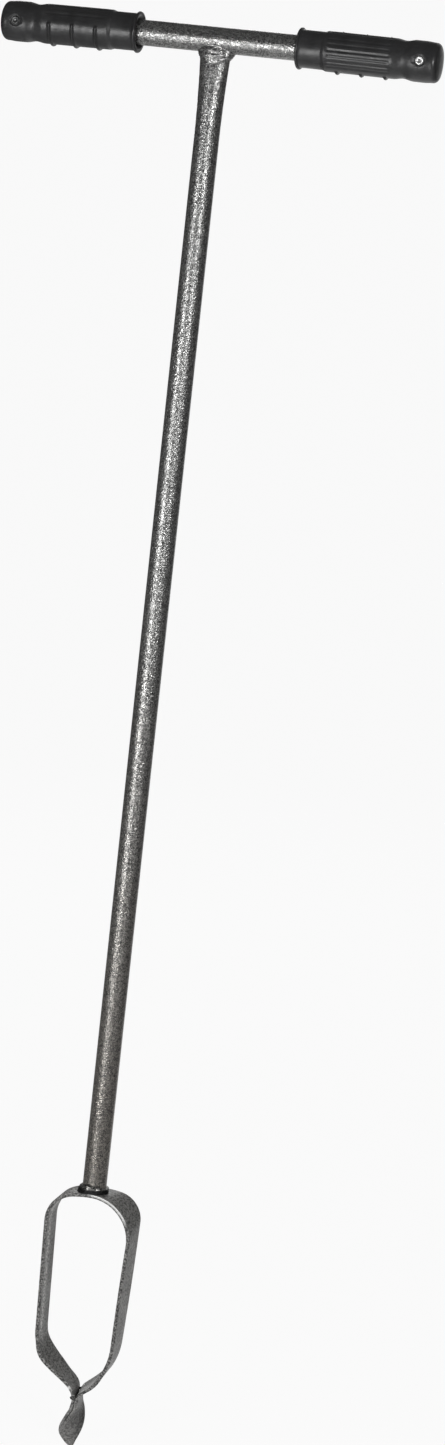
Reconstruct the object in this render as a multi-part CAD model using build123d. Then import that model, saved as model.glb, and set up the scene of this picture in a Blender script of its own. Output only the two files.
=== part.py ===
from build123d import *
from dataclasses import dataclass
import math
import os

# Hand earth auger: a T-handled tube with a bow of flat strip whose two ends are twisted into a leaf tip.
# Millimetres. +Z runs up the shaft, +X along the crossbar, and the origin is on the axis at the tip.

# Tubes of the handle and the shaft
TUBE_DIAMETER = 20.0
TUBE_WALL = 2.0
CROSSBAR_LENGTH = 349.4
CROSSBAR_OFFSET = 1.8      # of the crossbar's middle, to the right of the shaft
SHAFT_RUN = 941.7          # from the top of the bow up to the crossbar's axis
SHAFT_NOTCH = 3.5          # how far the notched top end of the shaft reaches up round the crossbar
SHAFT_END_WIDTH = 24.9     # along the crossbar, where the shaft's top end is pressed flatter
SHAFT_END_DEPTH = 15.0     # from front to back there
SHAFT_PRESS_LENGTH = 70.0  # from the round shaft up to the crossbar's underside
SHAFT_PRESS_SECTIONS = 7

# Weld between the shaft and the crossbar
TOP_WELD_SIDE_LEG = 2.8    # along the crossbar
TOP_WELD_FRONT_LEG = 2.2
TOP_WELD_DROP = 6.0        # down the shaft
TOP_WELD_RISE = 4.8        # above the crossbar's underside, in front and behind
WELD_TOE = 0.4             # thickness of a bead where it runs out

# Weld between the shaft and the bow
BOW_WELD_LEG = 2.6
BOW_WELD_HEIGHT = 4.6
BOW_WELD_BELLY = 1.6       # height of the bead's fullest ring above the bow

# Strip bow, bent by hand and not quite the same on its two sides; its radii belong to its outer face
STRIP_WIDTH = 24.7
STRIP_THICKNESS = 3.0
BOW_WIDTH = 75.9
BOW_OFFSET = 1.2           # of the bow's middle, to the right of the shaft
CROWN_RADIUS = 110.5
CROWN_TILT = 3.2           # degrees that the crown rises to the right under the shaft
LEFT_CORNER_RADIUS = 27.5
RIGHT_CORNER_RADIUS = 21.9
LEG_LENGTH = 104.7         # of the right leg
LEG_STAGGER = 8.5          # how much sooner the left leg is bent in
LEFT_LEG_TAPER = 1.3       # degrees that the leg leans inwards
RIGHT_LEG_TAPER = 2.4
LEFT_BEND_RADIUS = 38.8
RIGHT_BEND_RADIUS = 58.3
LEFT_SLOPE_ANGLE = 49.3    # degrees from upright, below the lower bend
RIGHT_SLOPE_ANGLE = 50.0
LEFT_RETURN_RADIUS = 20.9
RIGHT_RETURN_RADIUS = 9.4

# Leaf tip: the two strip ends, face to face, twisted like a right-hand screw
LEAF_OFFSET = 4.4          # of the leaf's axis, to the right of the shaft
PLY_GAP = 0.3
LEAF_LENGTH = 40.36        # up to the end of the lower return bend
TWIST_DELAY = 4.7          # straight stretch above the twist
TWIST_RUN = 33.2
LEAF_TWIST = 84.0          # degrees
FRONT_POINT_LENGTH = 11.0  # the edge that starts in front keeps its width further down
FRONT_POINT_POWER = 0.6    # below 1 the point's flank bulges
REAR_POINT_LENGTH = 34.3
REAR_POINT_POWER = 0.97
TIP_WIDTH = 2.0
LEAF_SECTIONS = 19
TACK_RADIUS = 4.0
TACK_HEIGHT = 0.9
TACK_RISE = 6.5            # above the end of the lower return bend

# Grips, measured along the bar from the closed outer end
GRIP_LENGTH = 113.5
GRIP_END_WALL = 4.0
GRIP_BORE_CLEARANCE = 0.1
GRIP_END_DOME = 0.8
GRIP_END_ROUND = 2.8
KNOB_DIAMETER = 31.7
KNOB_LENGTH = 20.0
NECK_DIAMETER = 29.0
NECK_DISTANCE = 28.4
BODY_DIAMETER = 31.2
BODY_START = 36.5
BODY_END = 90.0
SLEEVE_DIAMETER = 29.2
SLEEVE_START = 93.5
COLLAR_DIAMETER = 32.4
COLLAR_WIDTH = 2.4
COLLAR_FLARE = 4.5
MOUTH_DIAMETER = 26.0
MOUTH_DEPTH = 5.0
SEAM_ANGLE = 20.0          # keeps the seam of the turned faces away from the rivet seat

# Finger ridges on one side of a grip, and long ribs between grooves on the other
RIDGE_COUNT = 3
RIDGE_FIRST = 42.4
RIDGE_PITCH = 19.35
RIDGE_RADIUS = 1.3
RIDGE_HEIGHT = 1.3
RIDGE_SPAN = 174.0         # degrees round the grip
RIB_COUNT = 7
RIB_PITCH_ANGLE = 17.0
GROOVE_RADIUS = 1.8
GROOVE_DEPTH = 0.6
GROOVE_INSET = 3.0         # from each end of the body to the groove's straight part
LEFT_RIB_ANGLE = 90.0      # degrees from the front upwards to the middle of the ribs
RIGHT_RIB_ANGLE = 10.0

# Blind rivets through the grips into the crossbar
RIVET_DISTANCE = 14.0      # from the grip's closed outer end
RIVET_SHANK_DIAMETER = 3.2
RIVET_HEAD_DIAMETER = 6.8
RIVET_HEAD_HEIGHT = 1.2
RIVET_HEAD_ROUND = 0.9
RIVET_SEAT_DIAMETER = 9.0
RIVET_SEAT_DEPTH = 1.4
RIVET_BULB_DIAMETER = 4.6
RIVET_BULB_LENGTH = 2.6
MANDREL_DIAMETER = 1.8
MANDREL_SINK = 0.5         # mandrel's broken end, below the top of the head
MANDREL_HEAD_DIAMETER = 2.8
MANDREL_HEAD_LENGTH = 1.2

# Derived sizes
tube_radius = TUBE_DIAMETER / 2
tube_bore = tube_radius - TUBE_WALL
strip_half = STRIP_WIDTH / 2
ply_inner = PLY_GAP / 2
ply_outer = ply_inner + STRIP_THICKNESS
twist_top = LEAF_LENGTH - TWIST_DELAY
grip_end = CROSSBAR_LENGTH / 2 + GRIP_END_WALL
rivet_x = grip_end - RIVET_DISTANCE
rivet_seat = KNOB_DIAMETER / 2 - RIVET_SEAT_DEPTH


def cosine(degrees):
    """Cosine of an angle in degrees."""
    return math.cos(math.radians(degrees))


def sine(degrees):
    """Sine of an angle in degrees."""
    return math.sin(math.radians(degrees))


@dataclass(frozen=True)
class BowSide:
    """Bends of one side of the bow, which is drawn to the right from the crown."""

    half_span: float
    crown_fall: float
    corner_radius: float
    leg_length: float
    leg_taper: float
    bend_radius: float
    slope_angle: float
    return_radius: float
    reach: float

    def corner_start(self):
        """Degrees that the crown falls where the corner begins."""
        run = self.half_span - self.corner_radius + CROWN_RADIUS * sine(self.crown_fall)
        return math.degrees(math.asin(run / (CROWN_RADIUS - self.corner_radius)))

    def slope_length(self):
        """Length of the straight stretch between the lower bend and the return bend."""
        below_corner = self.half_span - self.corner_radius * (1 - cosine(self.leg_taper))
        below_leg = below_corner - self.leg_length * sine(self.leg_taper)
        below_bend = below_leg - self.bend_radius * (cosine(self.leg_taper) - cosine(self.slope_angle))
        above_return = self.reach + self.return_radius * (1 - cosine(self.slope_angle))
        return (below_bend - above_return) / sine(self.slope_angle)

    def line(self, inset):
        """Front view from the crown at (0, 0) to the end of the return bend, inset from the outer face."""
        across = Vector(sine(self.crown_fall), cosine(self.crown_fall))
        along = Vector(cosine(self.crown_fall), -sine(self.crown_fall))
        start = self.corner_start()
        crown = JernArc(across * -inset, along, CROWN_RADIUS - inset, -(start - self.crown_fall))
        corner = JernArc(crown @ 1, crown % 1, self.corner_radius - inset, -(90 + self.leg_taper - start))
        leg = Line(corner @ 1, (corner @ 1) + (corner % 1) * self.leg_length)
        bend = JernArc(leg @ 1, leg % 1, self.bend_radius - inset, -(self.slope_angle - self.leg_taper))
        slope = Line(bend @ 1, (bend @ 1) + (bend % 1) * self.slope_length())
        back = JernArc(slope @ 1, slope % 1, self.return_radius + inset, self.slope_angle)
        return [crown, corner, leg, bend, slope, back]

    def lowest(self):
        """Height of the end of the return bend, from the crown."""
        return (self.line(0)[-1] @ 1).Y

    def face(self, depth):
        """Front view of this side, with a straight ply below its return bend down to a depth."""
        outer = self.line(0)
        inner = self.line(STRIP_THICKNESS)
        plies = []
        for line in (outer, inner):
            bend_end = line[-1] @ 1
            plies.append(Line(bend_end, (bend_end.X, -depth)))
        top = Line(outer[0] @ 0, inner[0] @ 0)
        end = Line(plies[0] @ 1, plies[1] @ 1)
        return make_face(Curve() + outer + inner + plies + [top, end])


left_side = BowSide(
    half_span=BOW_WIDTH / 2 - BOW_OFFSET,
    crown_fall=CROWN_TILT,
    corner_radius=LEFT_CORNER_RADIUS,
    leg_length=LEG_LENGTH - LEG_STAGGER,
    leg_taper=LEFT_LEG_TAPER,
    bend_radius=LEFT_BEND_RADIUS,
    slope_angle=LEFT_SLOPE_ANGLE,
    return_radius=LEFT_RETURN_RADIUS,
    reach=ply_outer - LEAF_OFFSET,
)
right_side = BowSide(
    half_span=BOW_WIDTH / 2 + BOW_OFFSET,
    crown_fall=-CROWN_TILT,
    corner_radius=RIGHT_CORNER_RADIUS,
    leg_length=LEG_LENGTH,
    leg_taper=RIGHT_LEG_TAPER,
    bend_radius=RIGHT_BEND_RADIUS,
    slope_angle=RIGHT_SLOPE_ANGLE,
    return_radius=RIGHT_RETURN_RADIUS,
    reach=ply_outer + LEAF_OFFSET,
)


def make_bow_hoop():
    """Hoop of the bow down to where its ends begin to twist, crown at Z = 0, and the depth it reaches."""
    depth = TWIST_DELAY - min(left_side.lowest(), right_side.lowest())
    outline = right_side.face(depth) + mirror(left_side.face(depth), about=Plane.YZ)
    hoop = extrude(Plane.XZ * outline, strip_half, both=True)
    return hoop, depth


hoop_at_zero, hoop_depth = make_bow_hoop()
bow_top = twist_top + hoop_depth
bar_height = bow_top + SHAFT_RUN
bar_underside = bar_height - tube_radius
shaft_top = bar_underside + SHAFT_NOTCH
press_start = bar_underside - SHAFT_PRESS_LENGTH


def leaf_edge(height, point_length, power):
    """Distance from the leaf's middle to one of its edges at a height above its tip."""
    share = min(height / point_length, 1)
    return TIP_WIDTH / 2 + (STRIP_WIDTH - TIP_WIDTH) / 2 * share ** power


def leaf_turn(height):
    """Degrees that the leaf has turned, clockwise seen from above, at a height above its tip."""
    share = (twist_top - height) / TWIST_RUN
    share = min(max(share, 0), 1)
    eased = share * share * (3 - 2 * share)
    return LEAF_TWIST * (share + eased) / 2


def make_leaf_ply(side):
    """One of the leaf's two plies on the Z axis, which carries on from the left (-1) or right (1) leg."""
    sections = []
    for step in range(LEAF_SECTIONS):
        height = twist_top * (1 - step / (LEAF_SECTIONS - 1))
        front = leaf_edge(height, FRONT_POINT_LENGTH, FRONT_POINT_POWER)
        rear = leaf_edge(height, REAR_POINT_LENGTH, REAR_POINT_POWER)
        middle = Pos(side * (ply_inner + ply_outer) / 2, (rear - front) / 2)
        turned = Pos(0, 0, height) * Rot(0, 0, -leaf_turn(height))
        sections.append(turned * middle * Rectangle(STRIP_THICKNESS, front + rear))
    return loft(sections)


def make_auger_bow():
    """Hoop and both plies of the leaf, one unbroken strip."""
    bow = Pos(0, 0, bow_top) * hoop_at_zero
    for side in (-1, 1):
        bow += Pos(LEAF_OFFSET, 0, 0) * make_leaf_ply(side)
    return bow


def make_tip_tack(side):
    """Bead over the edges of the two plies, in front for side -1 and behind for side 1."""
    bead = Pos(0, side * (TACK_HEIGHT - TACK_RADIUS), 0) * Sphere(TACK_RADIUS)
    outside = Pos(0, side * TACK_RADIUS, 0) * Box(4 * TACK_RADIUS, 2 * TACK_RADIUS, 4 * TACK_RADIUS)
    return Pos(LEAF_OFFSET, side * strip_half, LEAF_LENGTH + TACK_RISE) * (bead & outside)


def bar_solid(radius, length):
    """Round bar on the crossbar's axis, about the crossbar's middle."""
    return Pos(CROSSBAR_OFFSET, 0, bar_height) * Rot(0, 90, 0) * Cylinder(radius, length)


def upright_solid(radius, low, high):
    """Round bar on the shaft's axis between two heights."""
    return Pos(0, 0, low) * Cylinder(radius, high - low, align=(Align.CENTER, Align.CENTER, Align.MIN))


def to_front(x):
    """Place on the crossbar's axis, at X from its middle, where local +Z points to the front, -Y."""
    return Pos(CROSSBAR_OFFSET + x, 0, bar_height) * Rot(90, 0, 0)


def outward_cylinder(radius, low, high):
    """Cylinder along local +Z between two distances from the crossbar's axis."""
    return Pos(0, 0, low) * Cylinder(radius, high - low, align=(Align.CENTER, Align.CENTER, Align.MIN))


def make_crossbar():
    """Crossbar tube with the two rivet holes in its front wall."""
    tube = bar_solid(tube_radius, CROSSBAR_LENGTH) - bar_solid(tube_bore, CROSSBAR_LENGTH)
    for x in (-rivet_x, rivet_x):
        tube -= to_front(x) * outward_cylinder(RIVET_SHANK_DIAMETER / 2, 0, TUBE_DIAMETER)
    return tube


def shaft_half_sizes(height):
    """Half width along the crossbar and half depth of the shaft's outside at a height."""
    share = (height - press_start) / SHAFT_PRESS_LENGTH
    share = min(max(share, 0), 1) ** 2
    along = tube_radius + (SHAFT_END_WIDTH / 2 - tube_radius) * share
    across = tube_radius + (SHAFT_END_DEPTH / 2 - tube_radius) * share
    return along, across


def shaft_solid(low, inset):
    """Solid shaft from a height up to its notched end, round below and pressed flatter at the top."""
    sections = []
    for step in range(SHAFT_PRESS_SECTIONS):
        height = press_start + SHAFT_PRESS_LENGTH * step / (SHAFT_PRESS_SECTIONS - 1)
        along, across = shaft_half_sizes(height)
        sections.append(Pos(0, 0, height) * Ellipse(along - inset, across - inset))
    end = extrude(sections[-1], SHAFT_NOTCH)
    return upright_solid(tube_radius - inset, low, press_start) + loft(sections) + end


def make_shaft(bow):
    """Shaft tube, notched at the top for the crossbar and seated on the crown of the bow."""
    low = bow_top - STRIP_THICKNESS / 2
    tube = shaft_solid(low, 0) - shaft_solid(low, TUBE_WALL)
    tube -= bar_solid(tube_radius, CROSSBAR_LENGTH)
    return tube - bow


def make_crossbar_weld():
    """Fillet bead round the shaft's pressed top end, against the underside of the crossbar."""
    rings = [
        (-TOP_WELD_DROP, WELD_TOE, WELD_TOE),
        (-TOP_WELD_DROP / 2, TOP_WELD_SIDE_LEG / 3, TOP_WELD_FRONT_LEG / 2),
        (0, TOP_WELD_SIDE_LEG, TOP_WELD_FRONT_LEG),
        (TOP_WELD_RISE, TOP_WELD_SIDE_LEG / 2, TOP_WELD_FRONT_LEG),
    ]
    sections = []
    for rise, along_leg, across_leg in rings:
        along, across = shaft_half_sizes(bar_underside + rise)
        ring = Ellipse(along + along_leg, across + across_leg)
        sections.append(Pos(0, 0, bar_underside + rise) * ring)
    bead = loft(sections, ruled=True)
    bead -= shaft_solid(press_start, 0)
    bead -= bar_solid(tube_radius, CROSSBAR_LENGTH)
    return bead


def make_bow_weld(bow):
    """Ring bead round the shaft's lower end, on top of the bow."""
    rings = [
        (-STRIP_THICKNESS / 2, BOW_WELD_LEG),
        (BOW_WELD_BELLY, BOW_WELD_LEG),
        (BOW_WELD_HEIGHT, WELD_TOE),
    ]
    sections = [Pos(0, 0, bow_top + rise) * Circle(tube_radius + leg) for rise, leg in rings]
    bead = loft(sections, ruled=True)
    bead -= upright_solid(tube_radius, bow_top - STRIP_THICKNESS, bow_top + 2 * BOW_WELD_HEIGHT)
    return bead - bow


def swell(start, end):
    """S-shaped line between two points of a grip's profile, level at both ends."""
    middle = (start[0] + end[0]) / 2
    return Bezier(start, (middle, start[1]), (middle, end[1]), end)


def make_grip_blank():
    """Turned shape of a grip along +X, with its closed outer end at X = 0 and its mouth at -X."""
    knob = KNOB_DIAMETER / 2
    neck = NECK_DIAMETER / 2
    body = BODY_DIAMETER / 2
    sleeve = SLEEVE_DIAMETER / 2
    collar = COLLAR_DIAMETER / 2
    mouth = MOUTH_DIAMETER / 2
    bore = tube_radius + GRIP_BORE_CLEARANCE
    round_start = (GRIP_END_DOME, knob - GRIP_END_ROUND)
    knob_start = (GRIP_END_DOME + GRIP_END_ROUND, knob)
    flare_start = GRIP_LENGTH - COLLAR_FLARE
    rim_start = GRIP_LENGTH - COLLAR_WIDTH
    rim_round = COLLAR_WIDTH / 2
    edges = [
        TangentArc((0, 0), round_start, tangent=(0, 1)),
        RadiusArc(round_start, knob_start, GRIP_END_ROUND),
        Line(knob_start, (KNOB_LENGTH, knob)),
        swell((KNOB_LENGTH, knob), (NECK_DISTANCE, neck)),
        swell((NECK_DISTANCE, neck), (BODY_START, body)),
        Line((BODY_START, body), (BODY_END, body)),
        swell((BODY_END, body), (SLEEVE_START, sleeve)),
        Line((SLEEVE_START, sleeve), (flare_start, sleeve)),
        Line((flare_start, sleeve), (rim_start, collar - rim_round)),
        RadiusArc((rim_start, collar - rim_round), (rim_start + rim_round, collar), rim_round),
        RadiusArc((rim_start + rim_round, collar), (GRIP_LENGTH, collar - rim_round), rim_round),
        Line((GRIP_LENGTH, collar - rim_round), (GRIP_LENGTH, mouth)),
        Line((GRIP_LENGTH, mouth), (GRIP_LENGTH - MOUTH_DEPTH, bore)),
        Line((GRIP_LENGTH - MOUTH_DEPTH, bore), (GRIP_END_WALL, bore)),
        Line((GRIP_END_WALL, bore), (GRIP_END_WALL, 0)),
        Line((GRIP_END_WALL, 0), (0, 0)),
    ]
    profile = make_face(Curve() + edges)
    return Rot(-SEAM_ANGLE, 0, 0) * mirror(revolve(profile, Axis.X), about=Plane.YZ)


def make_ridge(distance):
    """Finger ridge round the +Y side of the grip, with round ends."""
    spine = BODY_DIAMETER / 2 + RIDGE_HEIGHT - RIDGE_RADIUS
    section = Pos(0, spine) * Circle(RIDGE_RADIUS)
    arc = Rot(-RIDGE_SPAN / 2, 0, 0) * revolve(section, Axis.X, RIDGE_SPAN)
    for end in (-1, 1):
        arc += Rot(end * RIDGE_SPAN / 2, 0, 0) * Pos(0, spine, 0) * Sphere(RIDGE_RADIUS)
    return Pos(-distance, 0, 0) * arc


def make_groove(angle):
    """Cutter for a long groove on the -Y side, at an angle round the bar, with round ends."""
    first = BODY_START + GROOVE_INSET
    last = BODY_END - GROOVE_INSET
    bar = Rot(0, 90, 0) * Cylinder(GROOVE_RADIUS, last - first)
    for end in (-1, 1):
        bar += Pos(end * (last - first) / 2, 0, 0) * Sphere(GROOVE_RADIUS)
    axis_distance = BODY_DIAMETER / 2 - GROOVE_DEPTH + GROOVE_RADIUS
    return Rot(angle, 0, 0) * Pos(-(first + last) / 2, -axis_distance, 0) * bar


def make_plain_grip():
    """Grip with its ridges and ribs, outer end at X = 0, the middle of the ribs at the front."""
    grip = make_grip_blank()
    for index in range(RIDGE_COUNT):
        grip += make_ridge(RIDGE_FIRST + index * RIDGE_PITCH)
    for index in range(RIB_COUNT + 1):
        grip -= make_groove((index - RIB_COUNT / 2) * RIB_PITCH_ANGLE)
    return grip


def make_grip(plain, side, rib_angle):
    """Grip in its place on the left (side -1) or right (side 1), with its rivet seat and hole."""
    turned = Rot(-rib_angle, 0, 0) * plain
    if side < 0:
        turned = mirror(turned, about=Plane.YZ)
    placed = Pos(CROSSBAR_OFFSET + side * grip_end, 0, bar_height) * turned
    seat = outward_cylinder(RIVET_SEAT_DIAMETER / 2, rivet_seat, KNOB_DIAMETER)
    hole = outward_cylinder(RIVET_SHANK_DIAMETER / 2, 0, KNOB_DIAMETER)
    return placed - to_front(side * rivet_x) * (seat + hole)


def bulb_top():
    """Distance from the bar's axis to the top of a rivet's bulb, clear of the tube's curved wall."""
    return math.sqrt(tube_bore ** 2 - (RIVET_BULB_DIAMETER / 2) ** 2)


def make_rivet_sleeve(side):
    """Rivet sleeve with its domed head, its shank through grip and tube, and its bulb inside."""
    low = bulb_top() - RIVET_BULB_LENGTH
    high = rivet_seat + RIVET_HEAD_HEIGHT
    head = outward_cylinder(RIVET_HEAD_DIAMETER / 2, rivet_seat, high)
    head = fillet(head.edges().sort_by(Axis.Z)[-1], RIVET_HEAD_ROUND)
    shank = outward_cylinder(RIVET_SHANK_DIAMETER / 2, low, rivet_seat)
    bulb = outward_cylinder(RIVET_BULB_DIAMETER / 2, low, bulb_top())
    bore = outward_cylinder(MANDREL_DIAMETER / 2, low, high)
    return to_front(side * rivet_x) * (head + shank + bulb - bore)


def make_rivet_mandrel(side):
    """Pulled mandrel that fills the sleeve, with its head below the bulb."""
    low = bulb_top() - RIVET_BULB_LENGTH
    high = rivet_seat + RIVET_HEAD_HEIGHT - MANDREL_SINK
    stem = outward_cylinder(MANDREL_DIAMETER / 2, low, high)
    head = outward_cylinder(MANDREL_HEAD_DIAMETER / 2, low - MANDREL_HEAD_LENGTH, low)
    return to_front(side * rivet_x) * (stem + head)


def make_parts():
    """Every node of the auger by name."""
    bow = make_auger_bow()
    plain_grip = make_plain_grip()
    return {
        "crossbar_tube": make_crossbar(),
        "shaft_tube": make_shaft(bow),
        "crossbar_weld": make_crossbar_weld(),
        "bow_weld": make_bow_weld(bow),
        "auger_bow": bow,
        "front_tip_tack": make_tip_tack(-1),
        "rear_tip_tack": make_tip_tack(1),
        "left_grip": make_grip(plain_grip, -1, LEFT_RIB_ANGLE),
        "right_grip": make_grip(plain_grip, 1, RIGHT_RIB_ANGLE),
        "left_rivet_sleeve": make_rivet_sleeve(-1),
        "right_rivet_sleeve": make_rivet_sleeve(1),
        "left_rivet_mandrel": make_rivet_mandrel(-1),
        "right_rivet_mandrel": make_rivet_mandrel(1),
    }


os.makedirs("parts", exist_ok=True)
for name, shape in make_parts().items():
    export_step(shape, f"parts/{name}.step")
print(f"bow top {bow_top:.2f}, crossbar axis {bar_height:.2f}, handle {2 * grip_end:.1f}")
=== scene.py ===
"""Looks of a hand earth auger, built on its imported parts. Metres, +Z up the shaft, -Y to the front."""
import logging
import math
from collections.abc import Callable
from dataclasses import dataclass, replace
from enum import Enum

import bmesh
import bpy
from mathutils import Matrix, Vector, noise


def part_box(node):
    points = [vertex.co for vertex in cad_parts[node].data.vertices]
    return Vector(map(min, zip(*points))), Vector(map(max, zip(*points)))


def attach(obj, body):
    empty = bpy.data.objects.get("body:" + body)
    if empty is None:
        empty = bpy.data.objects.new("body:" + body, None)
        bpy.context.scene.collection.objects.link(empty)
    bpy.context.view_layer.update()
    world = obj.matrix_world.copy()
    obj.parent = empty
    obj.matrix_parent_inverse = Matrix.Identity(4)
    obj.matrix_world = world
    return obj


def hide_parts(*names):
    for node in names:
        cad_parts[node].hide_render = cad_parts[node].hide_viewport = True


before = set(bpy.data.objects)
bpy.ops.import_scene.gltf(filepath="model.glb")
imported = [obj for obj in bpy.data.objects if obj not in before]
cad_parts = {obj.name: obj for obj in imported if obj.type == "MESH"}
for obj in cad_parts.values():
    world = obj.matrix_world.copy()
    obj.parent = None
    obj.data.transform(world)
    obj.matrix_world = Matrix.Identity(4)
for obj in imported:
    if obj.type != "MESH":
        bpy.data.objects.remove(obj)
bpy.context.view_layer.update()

MM = 0.001
SEAM = 0.0005 * MM
TURNED_SEAM = 0.001 * MM
CROWN_RADIUS = 110.5 * MM
CROWN_TILT = 3.2
LOG = logging.getLogger("auger")

Colour = tuple[float, float, float]
Point = tuple[float, float, float]
Pair = tuple[float, float]
Socket = bpy.types.NodeSocket
Number = float | Socket
Tint = Colour | Socket


class Slot(Enum):
    """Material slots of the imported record."""

    PAINT = "tube_paint"
    WELD = "weld_bead"
    STEEL = "strip_steel"
    RUBBER = "grip_rubber"
    RIVET = "rivet_aluminium"
    MANDREL = "mandrel_steel"


class Side(Enum):
    """Side of the tool, as the sign of its X."""

    LEFT = -1
    RIGHT = 1

    @property
    def word(self) -> str:
        """Name of the side as the nodes spell it."""
        return self.name.lower()


def ease(low: float, high: float, value: float) -> float:
    """Smooth step from 0 at low to 1 at high.

    Args:
        low: Value where the step begins.
        high: Value where the step ends; it may lie below low.
        value: Value to place on the step.

    Returns:
        A share between 0 and 1.
    """
    share = min(max((value - low) / (high - low), 0.0), 1.0)
    return share * share * (3.0 - 2.0 * share)


def hump(offset: float, half_width: float) -> float:
    """Rounded hump that is 1 in the middle and runs out softly at its half width.

    Args:
        offset: Distance from the hump's middle.
        half_width: Distance at which the hump ends.

    Returns:
        Height of the hump, between 0 and 1.
    """
    if abs(offset) >= half_width:
        return 0.0
    return math.cos(math.pi / 2 * offset / half_width) ** 2


def lumps(spot: Vector, size: float) -> float:
    """Soft seeded noise between about -1 and 1.

    Args:
        spot: Place in the frame.
        size: Width of one lump.

    Returns:
        The noise at that place.
    """
    return noise.noise(spot / size, noise_basis="PERLIN_ORIGINAL")


def opaque(colour: Tint) -> tuple[float, ...] | Socket:
    """Give a colour its alpha of 1; a socket stays as it is."""
    return colour if isinstance(colour, Socket) else (*colour, 1.0)


class NodeSheet:
    """One node tree, with short ways to add nodes and links."""

    def __init__(self, tree: bpy.types.NodeTree) -> None:
        """Keep the tree that the nodes go into."""
        self.tree = tree

    def add(self, kind: str, inputs: dict | None = None, **settings: object) -> bpy.types.Node:
        """Add a node.

        Args:
            kind: Blender's name of the node type.
            inputs: Values or sockets for the node's inputs, by name or number.
            settings: Properties of the node itself.

        Returns:
            The new node.
        """
        node = self.tree.nodes.new(kind)
        for name, value in settings.items():
            setattr(node, name, value)
        for name, value in (inputs or {}).items():
            if isinstance(value, Socket):
                self.link(value, node.inputs[name])
            else:
                node.inputs[name].default_value = value
        return node

    def link(self, source: Socket, target: Socket) -> None:
        """Join two sockets."""
        self.tree.links.new(source, target)

    def place(self) -> Socket:
        """Read the place on the piece, in the frame."""
        return self.add("ShaderNodeTexCoord").outputs["Object"]

    def attribute(self, name: str) -> Socket:
        """Read a number that the mesh carries at its points."""
        return self.add("ShaderNodeAttribute", attribute_name=name).outputs["Fac"]

    def math(self, operation: str, first: Number, second: Number = 0.0, clamp: bool = False) -> Socket:
        """Combine two numbers.

        Args:
            operation: Name of the operation.
            first: Number or socket.
            second: Number or socket.
            clamp: Whether the result is held between 0 and 1.

        Returns:
            The socket that carries the result.
        """
        node = self.add("ShaderNodeMath", {0: first, 1: second}, operation=operation, use_clamp=clamp)
        return node.outputs[0]

    def span(self, value: Socket, low: float, high: float, start: float = 0.0, end: float = 1.0) -> Socket:
        """Spread a number from one range over another, with the ends held.

        Args:
            value: Socket to spread.
            low: Value that becomes start.
            high: Value that becomes end.
            start: Result at low.
            end: Result at high.

        Returns:
            The socket that carries the result.
        """
        inputs = {"Value": value, "From Min": low, "From Max": high, "To Min": start, "To Max": end}
        return self.add("ShaderNodeMapRange", inputs).outputs["Result"]

    def blend(self, share: Number, first: Tint, second: Tint) -> Socket:
        """Mix two colours.

        Args:
            share: Socket or number, 0 for the first colour and 1 for the second.
            first: Colour or socket.
            second: Colour or socket.

        Returns:
            The socket that carries the mixed colour.
        """
        inputs = {0: share, 6: opaque(first), 7: opaque(second)}
        return self.add("ShaderNodeMix", inputs, data_type="RGBA").outputs[2]

    def surface(self, shader: bpy.types.Node, colour: Socket, gloss: Socket, relief: Socket,
                depth: float) -> None:
        """Lead a finish into its shader.

        Args:
            shader: Principled shader of the material.
            colour: Socket with the base colour.
            gloss: Socket with the roughness.
            relief: Socket with the height of the fine relief.
            depth: Real height of the relief where its socket gives 1.
        """
        bump = self.add("ShaderNodeBump", {"Height": relief, "Distance": depth, "Strength": 1.0})
        self.link(colour, shader.inputs["Base Color"])
        self.link(gloss, shader.inputs["Roughness"])
        self.link(bump.outputs["Normal"], shader.inputs["Normal"])


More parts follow.
